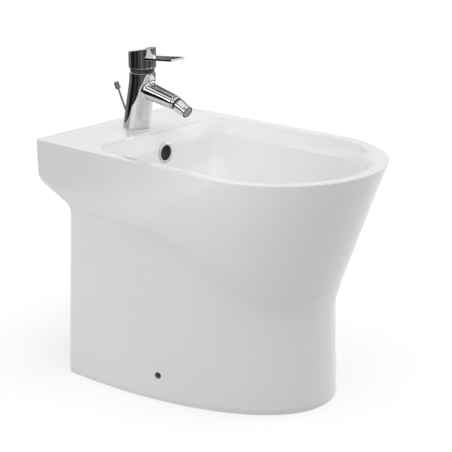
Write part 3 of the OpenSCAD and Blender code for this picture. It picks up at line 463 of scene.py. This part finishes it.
def along(o, dz, back_dz=None):
    """An outline at a distance above the crease, with another distance under the shelf."""
    if back_dz is None:
        back_dz = dz
    return [(x, y, crease(y) + dz + (back_dz - dz) * backness(y)) for x, y in plan(o)]


def circle_ring(r, z):
    """A circle round the waste, with as many points as an outline has."""
    n = 2 * (FRONT_N + SIDE_N + CORNER_N + BACK_N)
    return [(r * math.sin(2 * math.pi * i / n), WASTE_Y - r * math.cos(2 * math.pi * i / n), z)
            for i in range(n)]


def lean_y(z):
    """The front of the bowl's outer form at a height."""
    return FRONT_Y + (LEAN_Y - FRONT_Y) * (RIM_Z - z) / (RIM_Z - LEAN_Z)


def soften(ring, above, below):
    """Brings a ring onto the line between its neighbours, except under the shelf."""
    out = []
    for p, a, b in zip(ring, above, below):
        middle = Vector(a).lerp(Vector(b), 0.5)
        out.append(tuple(middle.lerp(Vector(p), ease(backness(p[1])))))
    return out


def by_depth(front, back):
    """A radius for each column: one value at the front and sides, another under the shelf."""
    return [front + (back - front) * ease(backness(y)) for _, y in plan(lip_out)]


rim_out = (RIM_HALF, BACK_Y, RIM_YS, FRONT_Y, 2.0, 13.0)
land_out = (RIM_HALF - 7, MOUTH_BACK_Y + 15, RIM_YS, FRONT_Y + 7, 2.0, 27.0)
lip_out = (RIM_HALF - 1, BACK_Y, 80.0, -203.0, 2.1, 13.0)
under_out = (RIM_HALF - 5, BACK_Y - 4, 110.0, -197.5, 2.1, 10.0)
waist_out = (169.5, PED_BACK_Y, 163.0, WAIST_FRONT_Y - 5.5, 2.1, 12.0)
waist_in = (166.0, PED_BACK_Y, 163.0, WAIST_FRONT_Y, 2.1, 12.0)
base_out = (177.5, BASE_BACK_Y, 169.0, BASE_FRONT_Y, 2.1, 14.0)
deck_in = (RIM_HALF, 0, RIM_YS, FRONT_Y + 4, 2.0, 0)
mouth = (143.0, MOUTH_BACK_Y, RIM_YS, FRONT_Y + 32, 2.0, 22.0)
bowl_top = inset(mouth, 8.5)
bowl_mid = (129.0, MOUTH_BACK_Y - 12, RIM_YS + 5, lean_y(330) + 37, 2.1, 20.0)
bowl_low = (118.0, MOUTH_BACK_Y - 26, RIM_YS + 15, lean_y(285) + 47, 2.1, 30.0)
bowl_floor = (95.0, MOUTH_BACK_Y - 41, RIM_YS + 50, lean_y(285) + 88, 2.1, 46.0)

lip = along(lip_out, 8.0)
waist = along(waist_out, -22.0, -8.0)

# Each ring with the radius that rounds the surface where it passes: over the rim, down the
# outside, under the foot, up the inside of the wall, round the waste and up the bowl.
# A radius of 0 gives one point and any other gives seven, so a ring has only one kind.
RINGS = [
    (level(land_out, RIM_Z), 14.0),
    (level(rim_out, RIM_Z), 3.6),
    (lip, by_depth(45.0, 3.5)),
    (soften(along(under_out, 0.0), lip, waist), by_depth(0.01, 5.0)),
    (waist, by_depth(120.0, 26.0)),
    (level(base_out, 8.0), 8.0),
    (level(inset(base_out, 1.2), 0.0), 0.8),
    (level(inner(base_out, 21.0), 0.0), 1.0),
    (along(inner(waist_in, 13.0), -24.0), 14.0),
    (along(inner(lip_out, 13.0), 8.0), 14.0),
    (level(inner(deck_in, 12.0), RIM_Z - DECK_T), 8.0),
    (level(inset(bowl_top, -WALL), RIM_Z - DECK_T), 8.0),
    (level(inset(bowl_mid, -WALL), 330.0), 20.0),
    (level(inset(bowl_low, -WALL), 279.0), 14.0),
    (level(inset(bowl_floor, -WALL), FLOOR_Z - 3), 10.0),
    (circle_ring(35.0, FLOOR_Z - 11), 3.0),
    (circle_ring(20.0, FLOOR_Z - 11), 0.0),
    (circle_ring(20.0, FLOOR_Z), 0.0),
    (circle_ring(36.0, FLOOR_Z), 4.0),
    (level(bowl_floor, FLOOR_Z + 8), 30.0),
    (level(bowl_low, 285.0), 40.0),
    (level(bowl_mid, 330.0), 60.0),
    (level(bowl_top, RIM_Z - 26), 24.0),
    (level(inset(mouth, -2), RIM_Z - 2.0), 18.0)]


def reach_share(neighbour):
    """The share of a side that a corner's rounding may take: more beside a sharp corner."""
    return 0.46 + 0.48 * max(0.0, 1.0 - neighbour / 4.0)


def column_points(i):
    """One column's points, as a short list for each ring that it passes."""
    pts = [Vector(r[i]) for r, _ in RINGS]
    radii = [rad[i] if isinstance(rad, list) else rad for _, rad in RINGS]
    n = len(pts)
    line = []
    for j in range(n):
        after = (j + 1) % n
        p, u, v = pts[j], pts[j - 1] - pts[j], pts[after] - pts[j]
        if radii[j] <= 0 or u.length < 1e-6 or v.length < 1e-6:
            line.append([p])
            continue
        half = u.angle(v) / 2
        reach = min(radii[j] / max(math.tan(half), 0.05), u.length * reach_share(radii[j - 1]),
                    v.length * reach_share(radii[after]))
        line.append(curve(p + u.normalized() * reach, p, p + v.normalized() * reach, 6))
    return line


def ceramic_mesh():
    count, rows = len(RINGS[0][0]), len(RINGS)
    columns = [column_points(i) for i in range(count)]

    def stretch(column, j):
        """The ends of the flat stretch after a ring."""
        return column[j][-1], column[(j + 1) % rows][0]

    lines = [[] for _ in columns]
    for j in range(rows):
        ends = [stretch(column, j) for column in columns]
        longest = max((b - a).length for a, b in ends)
        parts = max(1, min(MAX_PARTS, int(math.ceil(longest / MAX_STRETCH))))
        for line, column, (a, b) in zip(lines, columns, ends):
            line += column[j] + [a.lerp(b, k / parts) for k in range(1, parts)]
    return skin("china_body", lines, 0.01, closed=True)


# The overflow's channel: its low and high ends, as (y, z)
DUCT_Y0, DUCT_Z0 = 120.0, 236.0
DUCT_Y1, DUCT_Z1 = 156.5, 372.0
DUCT_LEAN = math.degrees(math.atan((DUCT_Y1 - DUCT_Y0) / (DUCT_Z1 - DUCT_Z0)))
DUCT_RUN = (DUCT_Z1 - DUCT_Z0) / math.cos(math.radians(DUCT_LEAN))
OVERFLOW_Y, OVERFLOW_Z = 139.2, 365.0  # the overflow ring's seat
HOLE_X, HOLE_Y, HOLE_Z, HOLE_R = 178.5, 13.0, 44.0, 5.6  # the side fixing holes


def sloping_box(name, w, d, below, above):
    tool = box_mesh(name, (-w / 2, -d / 2, -below), (w / 2, d / 2, DUCT_RUN + above))
    return place(tool, shift(0, DUCT_Y0, DUCT_Z0) @ tilt(-DUCT_LEAN))


body = ceramic_mesh()
boss = place(rod_mesh("boss", 36.0, 31.0), shift(0, WASTE_Y, 214.0))
boolean(body, boss, "UNION")
boolean(body, sloping_box("duct_out", 40, 19, 10, 18), "UNION")
boolean(body, box_mesh("duct_low", (-20, 35, 222), (20, 130, 243)), "UNION")
boolean(body, box_mesh("back_opening", (-135, 171, -1), (135, 262, RIM_Z - DECK_T)))
for name, radius, length, where in [
        ("tap_hole", 17.5, 16.0, shift(0, TAP_Y, 385.0)),
        ("waste_bore", 22.5, 57.0, shift(0, WASTE_Y, 213.0)),
        ("waste_recess", 33.0, 30.0, shift(0, WASTE_Y, 247.0)),
        ("overflow_face", 18.3, 30.0, shift(0, OVERFLOW_Y, OVERFLOW_Z) @ tilt(90)),
        ("overflow_bore", 14.5, 40.0, shift(0, DUCT_Y1, OVERFLOW_Z) @ tilt(90))]:
    boolean(body, place(rod_mesh(name, radius, length, 96), where))
boolean(body, sloping_box("duct_in", 32, 11, 6, 2))
boolean(body, box_mesh("duct_run", (-16, 30, 226), (16, 122, 236)))
for side in (-1, 1):
    tool = rod_mesh("side_hole", HOLE_R, 60.0, 64)
    boolean(body, place(tool, shift(side * HOLE_X, HOLE_Y, HOLE_Z) @ tilt(-side * 90, "Y")))
clean(body, 0.01)
smooth(body, 38)
finish_piece(body, china, "pedestal", "ceramic_body", slot="china")
# Extra materials for painted shade: the channel's walls, then the side holes' walls.
body.data.materials.append(channel_shade_paint)
body.data.materials.append(hole_shade_paint)


def in_channel(c):
    """Whether a point lies on the walls of the overflow's channel."""
    up = (c.z - DUCT_Z0) / (DUCT_Z1 - DUCT_Z0)
    duct_y = DUCT_Y0 + (DUCT_Y1 - DUCT_Y0) * up
    if 214.0 < c.z < 386.0 and abs(c.x) < 16.5 and abs(c.y - duct_y) < 9.0 and c.y > 30.0:
        return c.y > 144.0 or c.z < 345.0
    return False


def in_side_hole(c, normal):
    """Whether a face belongs to the wall of a fixing hole near the floor."""
    return math.hypot(c.y - HOLE_Y, c.z - HOLE_Z) < HOLE_R + 0.1 and abs(normal.x) < 0.5


# Painted shade: faces deep in the overflow's channel take the near-black colour.
for face in body.data.polygons:
    c = face.center / MM
    if in_channel(c):
        face.material_index = 1
    # Painted shade: the side fixing holes' walls take the mid-grey colour.
    elif in_side_hole(c, face.normal):
        face.material_index = 2

# ---- Overflow ring -----------------------------------------------------------------
ring = lathe("overflow_trim",
             [(13.0, -9.0), (14.4, -9.0), (14.4, 0.0), (17.5, 0.0), (17.5, 1.1), (15.9, 2.2),
              (13.6, 2.2), (13.0, 1.2)],
             [0.1, 0.1, 0, 0.1, 0.8, 1.2, 0.8, 0.6])
place(ring, shift(0, OVERFLOW_Y, OVERFLOW_Z) @ tilt(90))
finish_piece(smooth(ring, 40), chrome, "pedestal", "overflow_ring", slot="chrome")

# ---- Mixer body with its spout --------------------------------------------------------
BODY_H = 97.5
TOP_Z = RIM_Z + BODY_H
BEND_H, BEND_OUT, BEND_SOFT = 84.0, 16.0, 5.0  # the bend, and how far back the foot stands
BEND_Z = RIM_Z + BEND_H
FOOT_R, TOP_R = 23.5, 22.3
FOOT_ROUND, TOP_ROUND = 1.2, 0.5
SPOUT_SLOPE = math.radians(11.6)
SPOUT_Z = RIM_Z + 70  # where the spout's axis meets the head's
SPOUT_ROOT_R, SPOUT_END_R, CUP_R = 16.4, 12.4, 12.25
SWIVEL_Z = SPOUT_Z - (HEAD_Y - SWIVEL_Y) * math.tan(SPOUT_SLOPE)
SPOUT_L = (HEAD_Y - SWIVEL_Y) / math.cos(SPOUT_SLOPE)
SPOUT_START = Vector((0, HEAD_Y, SPOUT_Z))
SPOUT_DIR = Vector((0, -math.cos(SPOUT_SLOPE), -math.sin(SPOUT_SLOPE)))
SPOUT_SIDE = Vector((1, 0, 0))
SPOUT_UP = SPOUT_SIDE.cross(SPOUT_DIR)


def axis_y(z):
    """The leaning, then upright, axis of the mixer's body, with a soft bend."""
    t = (BEND_Z - z) / BEND_SOFT
    lift = BEND_SOFT * math.log1p(math.exp(t)) if t < 40 else BEND_SOFT * t
    return HEAD_Y + BEND_OUT / BEND_H * lift


def axis_r(z):
    t = (z - RIM_Z) / (TOP_Z - RIM_Z)
    return FOOT_R + (TOP_R - FOOT_R) * min(1.0, t * 1.15)


def mixer_shell():
    """The hollow column, from the spigot in the tap hole to the cartridge's seat."""
    heights = [0.0, 0.4, FOOT_ROUND] + [2.5 + 3.2 * k for k in range(29)]
    heights += [94.6, 95.6, 96.3, 96.7, 97.0, 97.2, 97.4, BODY_H]
    rows = [(0.0, TAP_Y, RIM_Z - 8), (16.4, TAP_Y, RIM_Z - 8), (17.0, TAP_Y, RIM_Z - 7.4),
            (17.0, TAP_Y, RIM_Z)]
    for h in heights:
        z = RIM_Z + h
        r = axis_r(z)
        if h < FOOT_ROUND:
            r -= 0.8 - 0.8 * math.sin(math.acos(1 - h / FOOT_ROUND))
        if h > BODY_H - TOP_ROUND:
            t = (h - (BODY_H - TOP_ROUND)) / TOP_ROUND
            r -= TOP_ROUND * (1 - math.sqrt(max(0.0, 1 - t * t)))
        rows.append((r, axis_y(z), z))
    rows += [(r, HEAD_Y, TOP_Z - down) for r, down in
             ((19.2, 0.0), (19.0, 0.3), (19.0, 8), (17.5, 8), (17.5, 30), (0.0, 30))]
    lines = []
    turns = 96
    for i in range(turns):
        a = 2 * math.pi * i / turns
        lines.append([(r * math.cos(a), y + r * math.sin(a), z) for r, y, z in rows])
    return skin("mixer_shell", lines)


def spout_r(t):
    return SPOUT_ROOT_R + (SPOUT_END_R - SPOUT_ROOT_R) * t / SPOUT_L


def spoke(angle):
    """The direction square to the spout's axis at an angle round it."""
    return SPOUT_SIDE * math.cos(angle) + SPOUT_UP * math.sin(angle)


def on_spout(angle, t, extra=0.0):
    return SPOUT_START + SPOUT_DIR * t + spoke(angle) * (spout_r(t) + extra)


def outside(p):
    return math.hypot(p.x, p.y - axis_y(p.z)) - axis_r(p.z)


def meet(angle, extra):
    """Where a line of the spout's cone, moved out by some distance, leaves the mixer's body."""
    lo, hi = 4.0, 60.0
    for _ in range(40):
        mid = (lo + hi) / 2
        if outside(on_spout(angle, mid, extra)) > 0:
            hi = mid
        else:
            lo = mid
    return hi


def spout_shell():
    """The arm, with a fillet that runs out onto the body all round its root."""
    turns, lines = 96, []
    end, end_round = SPOUT_L - 3.0, 0.9
    ball = SPOUT_START + SPOUT_DIR * SPOUT_L
    cup_from = 104.3  # degrees from the spout's direction to the cup's edge
    for i in range(turns):
        a = 2 * math.pi * i / turns
        fillet = 3.2 + 1.6 * max(0.0, -math.sin(a))
        root = meet(a, 0.0)
        start = root + fillet
        on_body = on_spout(a, meet(a, fillet), fillet)
        inward = (SPOUT_START + SPOUT_DIR * 2 - on_body).normalized()
        line = [on_body + inward * 1.5]
        line += curve(on_body, on_spout(a, root), on_spout(a, start), 8)
        line += [on_spout(a, start + (end - end_round - start) * k / 8) for k in range(1, 9)]
        for k in range(1, 5):
            b = math.pi / 2 * k / 4
            line.append(on_spout(a, end - end_round + end_round * math.sin(b) * 0.999,
                                 -0.45 * (1 - math.cos(b))))
        for k in range(0, 9):
            b = math.radians(cup_from + (180 - cup_from) * k / 8)
            line.append(ball + (spoke(a) * math.sin(b) + SPOUT_DIR * math.cos(b)) * CUP_R)
        lines.append(line)
    return skin("spout_shell", lines)


shell = join([smooth(mixer_shell(), 40), smooth(spout_shell(), 40)], "mixer_casting")
smooth(shell, 42)
finish_piece(shell, chrome, "pedestal", "mixer_body", slot="chrome")


# ---- Handle ----------------------------------------------------------------------------
CAP_R = 23.3
CAP_Z0 = RIM_Z + 105.5
CAP_Z1 = RIM_Z + 136.3  # the middle of the sloping top
CAP_EDGE = 1.2
CAP_SLOPE = math.tan(math.radians(11.0))
CAP_HOLLOW = 21.6
LEVER_REACH = 81.0  # from the head's axis to the tip
LEVER_IN = 6.5  # how far the blade runs into the cap
LEVER_ROOT_HALF, LEVER_TIP_HALF = 14.4, 17.2
LEVER_SIDE = 0.2  # width of the rounded side, as a share of half the thickness


def cap_shell():
    """The hollow cap, its sloping top and both its edges rounded."""
    turns, lines = 112, []
    for i in range(turns):
        a = 2 * math.pi * i / turns
        c, s = math.cos(a), math.sin(a)

        def top(r, drop=0.0):
            return (r * c, HEAD_Y + r * s, CAP_Z1 - CAP_SLOPE * r * s - drop)

        def flat(r, z):
            return (r * c, HEAD_Y + r * s, z)

        line = [top(0.0), top(8.0), top(16.0), top(20.5), top(21.8, 0.04)]
        for k in range(1, 6):
            b = math.pi / 2 * k / 5
            line.append(top(CAP_R - CAP_EDGE + CAP_EDGE * math.sin(b),
                            0.05 + CAP_EDGE * (1 - math.cos(b))))
        edge_z = line[-1][2]
        line += [flat(CAP_R, edge_z + (CAP_Z0 + 0.7 - edge_z) * k / 6) for k in range(1, 7)]
        line += [flat(r, CAP_Z0 + up) for r, up in
                 ((23.1, 0.2), (22.6, 0.0), (21.6, 0.0), (21.3, 0.3), (21.3, 20),
                  (20.0, CAP_HOLLOW))]
        line.append((0.0, HEAD_Y, CAP_Z0 + CAP_HOLLOW))
        lines.append(line)
    return skin("cap_shell", lines)


def lever_blade():
    """The flat lever: a tapered plate, full at the root, with soft edges all round."""
    rows = []
    root = CAP_R - LEVER_IN
    length = LEVER_REACH - CAP_R + LEVER_IN
    for k in range(0, 25):
        t = k / 24
        half = LEVER_ROOT_HALF + (LEVER_TIP_HALF - LEVER_ROOT_HALF) * t
        thick = 4.6 - 1.0 * min(1.0, t * 3)
        rows.append((root + length * t, half, thick))
    rows[-1] = (rows[-1][0] - 0.1, rows[-1][1] - 0.2, rows[-1][2])
    verts, faces = [], []
    # The rounded side, as shares of half the thickness: outward, up
    edge = [(0.0, 1.0), (0.10, 0.985), (0.17, 0.93), (0.20, 0.82),
            (0.20, -0.82), (0.17, -0.93), (0.10, -0.985), (0.0, -1.0)]
    for d, half, thick in rows:
        r = thick / 2
        section = [(half - r * LEVER_SIDE + r * out, r * up) for out, up in edge]
        section += [(-half + r * LEVER_SIDE - r * out, r * up) for out, up in reversed(edge)]
        verts += [(x, -d, z) for x, z in section]
    m = 2 * len(edge)
    for k in range(len(rows) - 1):
        for j in range(m):
            j2 = (j + 1) % m
            faces.append((k * m + j, k * m + j2, (k + 1) * m + j2, (k + 1) * m + j))
    faces.append(tuple(reversed(range(m))))
    last = (len(rows) - 1) * m
    faces.append(tuple(range(last, last + m)))
    blade = clean(new_object("lever_blade", verts, faces))
    bevel(blade, 0.35, 2, 50)
    return place(blade, shift(0, HEAD_Y, CAP_Z1 - 14.8) @ tilt(-4.6))


cap = cap_shell()
socket = box_mesh("stem_socket", (-7.5, HEAD_Y - CAP_R + 1.5, 512), (7.5, HEAD_Y + 6.5, 528))
bevel(socket, 0.5, 2)
notch = rod_mesh("plug_bore", 3.3, 8, 48)
boolean(cap, place(notch, shift(0, HEAD_Y - CAP_R + 4, 516) @ tilt(90)))
handle = join([smooth(cap, 35), smooth(socket, 35), smooth(lever_blade(), 40)], "lever_handle")
smooth(handle, 42)
finish_piece(handle, chrome, "handle", "handle", slot="chrome")


# ---- Nozzle, aerator and its ring -------------------------------------------------------
NOZZLE = shift(0, SWIVEL_Y, SWIVEL_Z) @ tilt(90 + 25.6)


def ball_arc(radius, angles):
    """Points on the nozzle's ball shell, by degrees from the outlet's direction."""
    return [(radius * math.sin(math.radians(a)), radius * math.cos(math.radians(a)))
            for a in angles]


profile = [(8.0, 22.4), (8.0, 8.5)]
profile += ball_arc(9.3, (48, 60, 75, 90, 105, 116)) + [(10.6, -5.4)]
profile += ball_arc(11.9, (117, 110, 102, 96, 90))
profile += [(11.3, 2.2), (10.5, 3.0), (10.3, 5.6), (11.3, 6.6), (11.75, 8.0), (11.75, 9.4),
            (10.62, 21.6), (10.5, 22.6), (10.0, 23.0), (9.0, 23.0)]
radii = [0.1, 0.1] + [0.0] * 6 + [0.2] + [0.0] * 5
radii += [1.0, 0.6, 0.6, 0.6, 0.6, 2.0, 0.3, 0.3, 0.2, 0.1]
nozzle = place(lathe("nozzle_shell", profile, radii), NOZZLE)
finish_piece(smooth(nozzle, 40), chrome, "nozzle", "nozzle_body", slot="chrome")
# Painted shade in the groove round the nozzle's neck.
darken(nozzle, NOZZLE, 2.0, 6.9, 9.6)
profile = [(8.05, 12.8), (8.9, 12.8), (8.9, 23.1), (10.2, 23.1), (10.4, 23.5), (10.4, 28.4),
           (9.7, 29.55), (8.9, 29.6), (8.3, 29.0)]
ring = lathe("aerator_ring", profile, [0.1, 0.1, 0, 0.15, 0.3, 0.8, 0.5, 0.3, 0.3])
finish_piece(smooth(place(ring, NOZZLE), 40), chrome, "nozzle", "aerator_housing", slot="chrome")
# Painted shade on the aerator ring's outlet end.
darken(ring, NOZZLE, 28.6, 29.8, 8.2)

# ---- Lift rod's knob ----------------------------------------------------------------------
ROD = shift(0, TAP_Y + 12.7, RIM_Z) @ tilt(-25.3)
profile = [(1.8, 66.6), (3.6, 66.6), (4.4, 67.6), (4.6, 69.0), (4.6, 74.6), (4.25, 74.9),
           (4.25, 75.6), (4.6, 75.9), (4.6, 78.3), (3.9, 79.45), (0.0, 79.5), (0.0, 71.5),
           (1.8, 71.5)]
knob = lathe("knob_turned", profile, [0.1, 0.5, 0.6, 0.6, 0.1, 0.1, 0.1, 0.1, 0.5, 0.8, 0, 0, 0])
finish_piece(smooth(place(knob, ROD), 40), rod_chrome, "lift_rod", "lift_knob", slot="chrome")

# ---- Pop-up plug's cap ------------------------------------------------------------------------
dish = lathe("plug_dome",
             [(0.0, 256.9), (18.6, 256.9), (19.3, 257.6), (19.3, 258.9), (17.8, 260.0),
              (10.0, 260.75), (0.0, 260.95)],
             [0, 0.2, 0.5, 0.5, 1.2, 6.0, 0])
place(dish, shift(0, WASTE_Y, 0))
finish_piece(smooth(dish, 40), chrome, "plug", "plug_cap", slot="chrome")


# ---- Stage: floor, cards, lamps and sky ------------------------------------------------------
WHITE = (1, 1, 1, 1)
FLOOR_GREY, FLOOR_GLOW = 0.62, 0.50  # the glow shows, but lights nothing
SKY_LIGHT = 0.36


def seen_or_mirrored(tree):
    """1 for camera, glossy and transmission rays, else 0."""
    path = tree.nodes.new("ShaderNodeLightPath")
    found = path.outputs["Is Camera Ray"]
    for ray in ("Is Glossy Ray", "Is Transmission Ray"):
        either = tree.nodes.new("ShaderNodeMath")
        either.operation = "MAXIMUM"
        tree.links.new(found, either.inputs[0])
        tree.links.new(path.outputs[ray], either.inputs[1])
        found = either.outputs[0]
    return found


def by_ray(tree, low, high):
    """One strength for light that falls on things, another for what is seen or mirrored."""
    node = tree.nodes.new("ShaderNodeMapRange")
    node.inputs["To Min"].default_value = low
    node.inputs["To Max"].default_value = high
    tree.links.new(seen_or_mirrored(tree), node.inputs["Value"])
    return node.outputs["Result"]


def glowing(name, tone, rough):
    """A dull grey material that can glow white."""
    mat, tree, shader = material(name)
    shader.inputs["Base Color"].default_value = (tone, tone, tone, 1)
    shader.inputs["Roughness"].default_value = rough
    shader.inputs["Specular IOR Level"].default_value = 0.0
    shader.inputs["Emission Color"].default_value = WHITE
    return mat, tree, shader.inputs["Emission Strength"]


floor = new_object("floor", [(-9, -9, 0), (9, -9, 0), (9, 9, 0), (-9, 9, 0)], [(0, 1, 2, 3)], 1.0)
floor.location.z = -0.0005
mat, tree, strength = glowing("pale_floor", FLOOR_GREY, 0.9)
tree.links.new(by_ray(tree, 0.0, FLOOR_GLOW), strength)
floor.data.materials.append(mat)


def card(name, strips):
    """A card of upright grey strips that only mirror rays see, to give the chrome its bands."""
    verts, faces = [], []
    for (x0, y0), (x1, y1), low, high, _ in strips:
        first = len(verts)
        verts += [(x0, y0, low), (x1, y1, low), (x1, y1, high), (x0, y0, high)]
        faces.append(tuple(range(first, first + 4)))
    obj = new_object(name, verts, faces, 1.0)
    tones = sorted({strip[4] for strip in strips})
    for tone in tones:
        mat, _, strength = glowing(f"{name}_{round(tone * 1000)}", 0, 1.0)
        strength.default_value = tone
        obj.data.materials.append(mat)
    for face, strip in zip(obj.data.polygons, strips):
        face.material_index = tones.index(strip[4])
    for ray in ("camera", "diffuse", "transmission", "volume_scatter", "shadow"):
        setattr(obj, "visible_" + ray, False)
    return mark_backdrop(obj)


def arc(tones, radius, low, high):
    """Strips on a circle round the object, from (start, end, tone) rows in degrees."""
    def at(degrees):
        turn = math.radians(degrees)
        return (radius * math.cos(turn), 0.05 + radius * math.sin(turn))

    strips = []
    for start, end, tone in tones:
        steps = max(2, round((end - start) / 6))
        marks = [start + (end - start) * k / steps for k in range(steps + 1)]
        strips += [(at(m), at(n), low, high, tone) for m, n in zip(marks, marks[1:])]
    return strips


def across(tones, low, high):
    """Strips on a flat card square to the view, from (left, right, tone) rows in metres."""
    depth = 0.2435  # beyond the origin, on the far side of the mixer
    view = Vector((aim.x - eye.x, aim.y - eye.y)).normalized()
    side = Vector((view.y, -view.x))

    def at(left):
        return tuple(view * depth + side * left)

    return [(at(left), at(right), low, high, tone) for left, right, tone in tones]


LOW_R = 0.75  # radius of the cards that stand round the object, in metres
card("low_card",
     arc([(76, 112, 0.16), (146, 158, 0.05), (158, 178, 0.020)], LOW_R, 0.17, 0.54)
     + arc([(112, 146, 0.010)], LOW_R, 0.17, 0.66)
     + arc([(38, 76, 0.26), (300, 340, 0.15), (340, 398, 0.20)], LOW_R, 0.31, 0.465))
card("front_card",
     arc([(178, 204, 0.07), (204, 211, 0.20), (211, 236, 0.09), (236, 246, 0.025),
          (246, 274, 0.12), (274, 300, 0.05)], LOW_R, 0.17, 0.555))
card("high_card", arc([(95, 200, 0.015)], 0.90, 0.88, 1.15))
card("near_card",
     across([(-0.146, -0.112, 0.20), (-0.112, -0.098, 0.14), (-0.098, -0.084, 0.08),
             (-0.084, -0.030, 0.16)], 0.522, 0.61)
     + across([(-0.136, -0.030, 0.04)], 0.62, 0.66))
card("back_card",
     arc([(10, 70, 0.03)], 0.90, 0.85, 1.02)
     + arc([(0, 100, 0.04)], 0.60, 0.98, 1.36)
     + arc([(60, 165, 0.03)], 0.35, 0.88, 1.20))


def lamp(name, kind, power):
    data = bpy.data.lights.new(name, kind)
    data.energy = power
    obj = bpy.data.objects.new(name, data)
    bpy.context.scene.collection.objects.link(obj)
    return obj


def sun(name, azimuth, elevation, power, soft):
    """A wide lamp that shines from the given direction, in degrees."""
    obj = lamp(name, "SUN", power)
    obj.data.angle = math.radians(soft)
    turn, rise = math.radians(azimuth), math.radians(elevation)
    come_from = Vector((math.cos(turn) * math.cos(rise), math.sin(turn) * math.cos(rise),
                        math.sin(rise)))
    obj.rotation_euler = (-come_from).to_track_quat("-Z", "Y").to_euler()
    obj.location = come_from * 2
    return obj


sun("key_lamp", 250, 78, 1.12, 60).visible_glossy = False
sun("left_lamp", 130, 12, 0.60, 50)
sun("back_lamp", 174, 12, 0.43, 50)
sun("right_lamp", 330, 12, 0.57, 50).visible_glossy = False
sun("far_lamp", 352, 12, 0.32, 50)

# A narrow soft lamp that lifts the bowl's far corner
spot = lamp("bowl_lamp", "SPOT", 36.0)
spot.data.spot_size = math.radians(11.5)
spot.data.spot_blend = 1.0
spot.data.shadow_soft_size = 0.1
spot.location = (-1.30, -1.15, 1.15)
far_corner = Vector((0.06, 0.085, 0.355))
spot.rotation_euler = (far_corner - spot.location).to_track_quat("-Z", "Y").to_euler()
spot.visible_glossy = False

world = bpy.data.worlds.new("studio")
bpy.context.scene.world = world
world.use_nodes = True
tree = world.node_tree
background = tree.nodes["Background"]
background.inputs["Color"].default_value = WHITE
tree.links.new(by_ray(tree, SKY_LIGHT, 1.0), background.inputs["Strength"])

bpy.context.scene.view_settings.view_transform = "Standard"
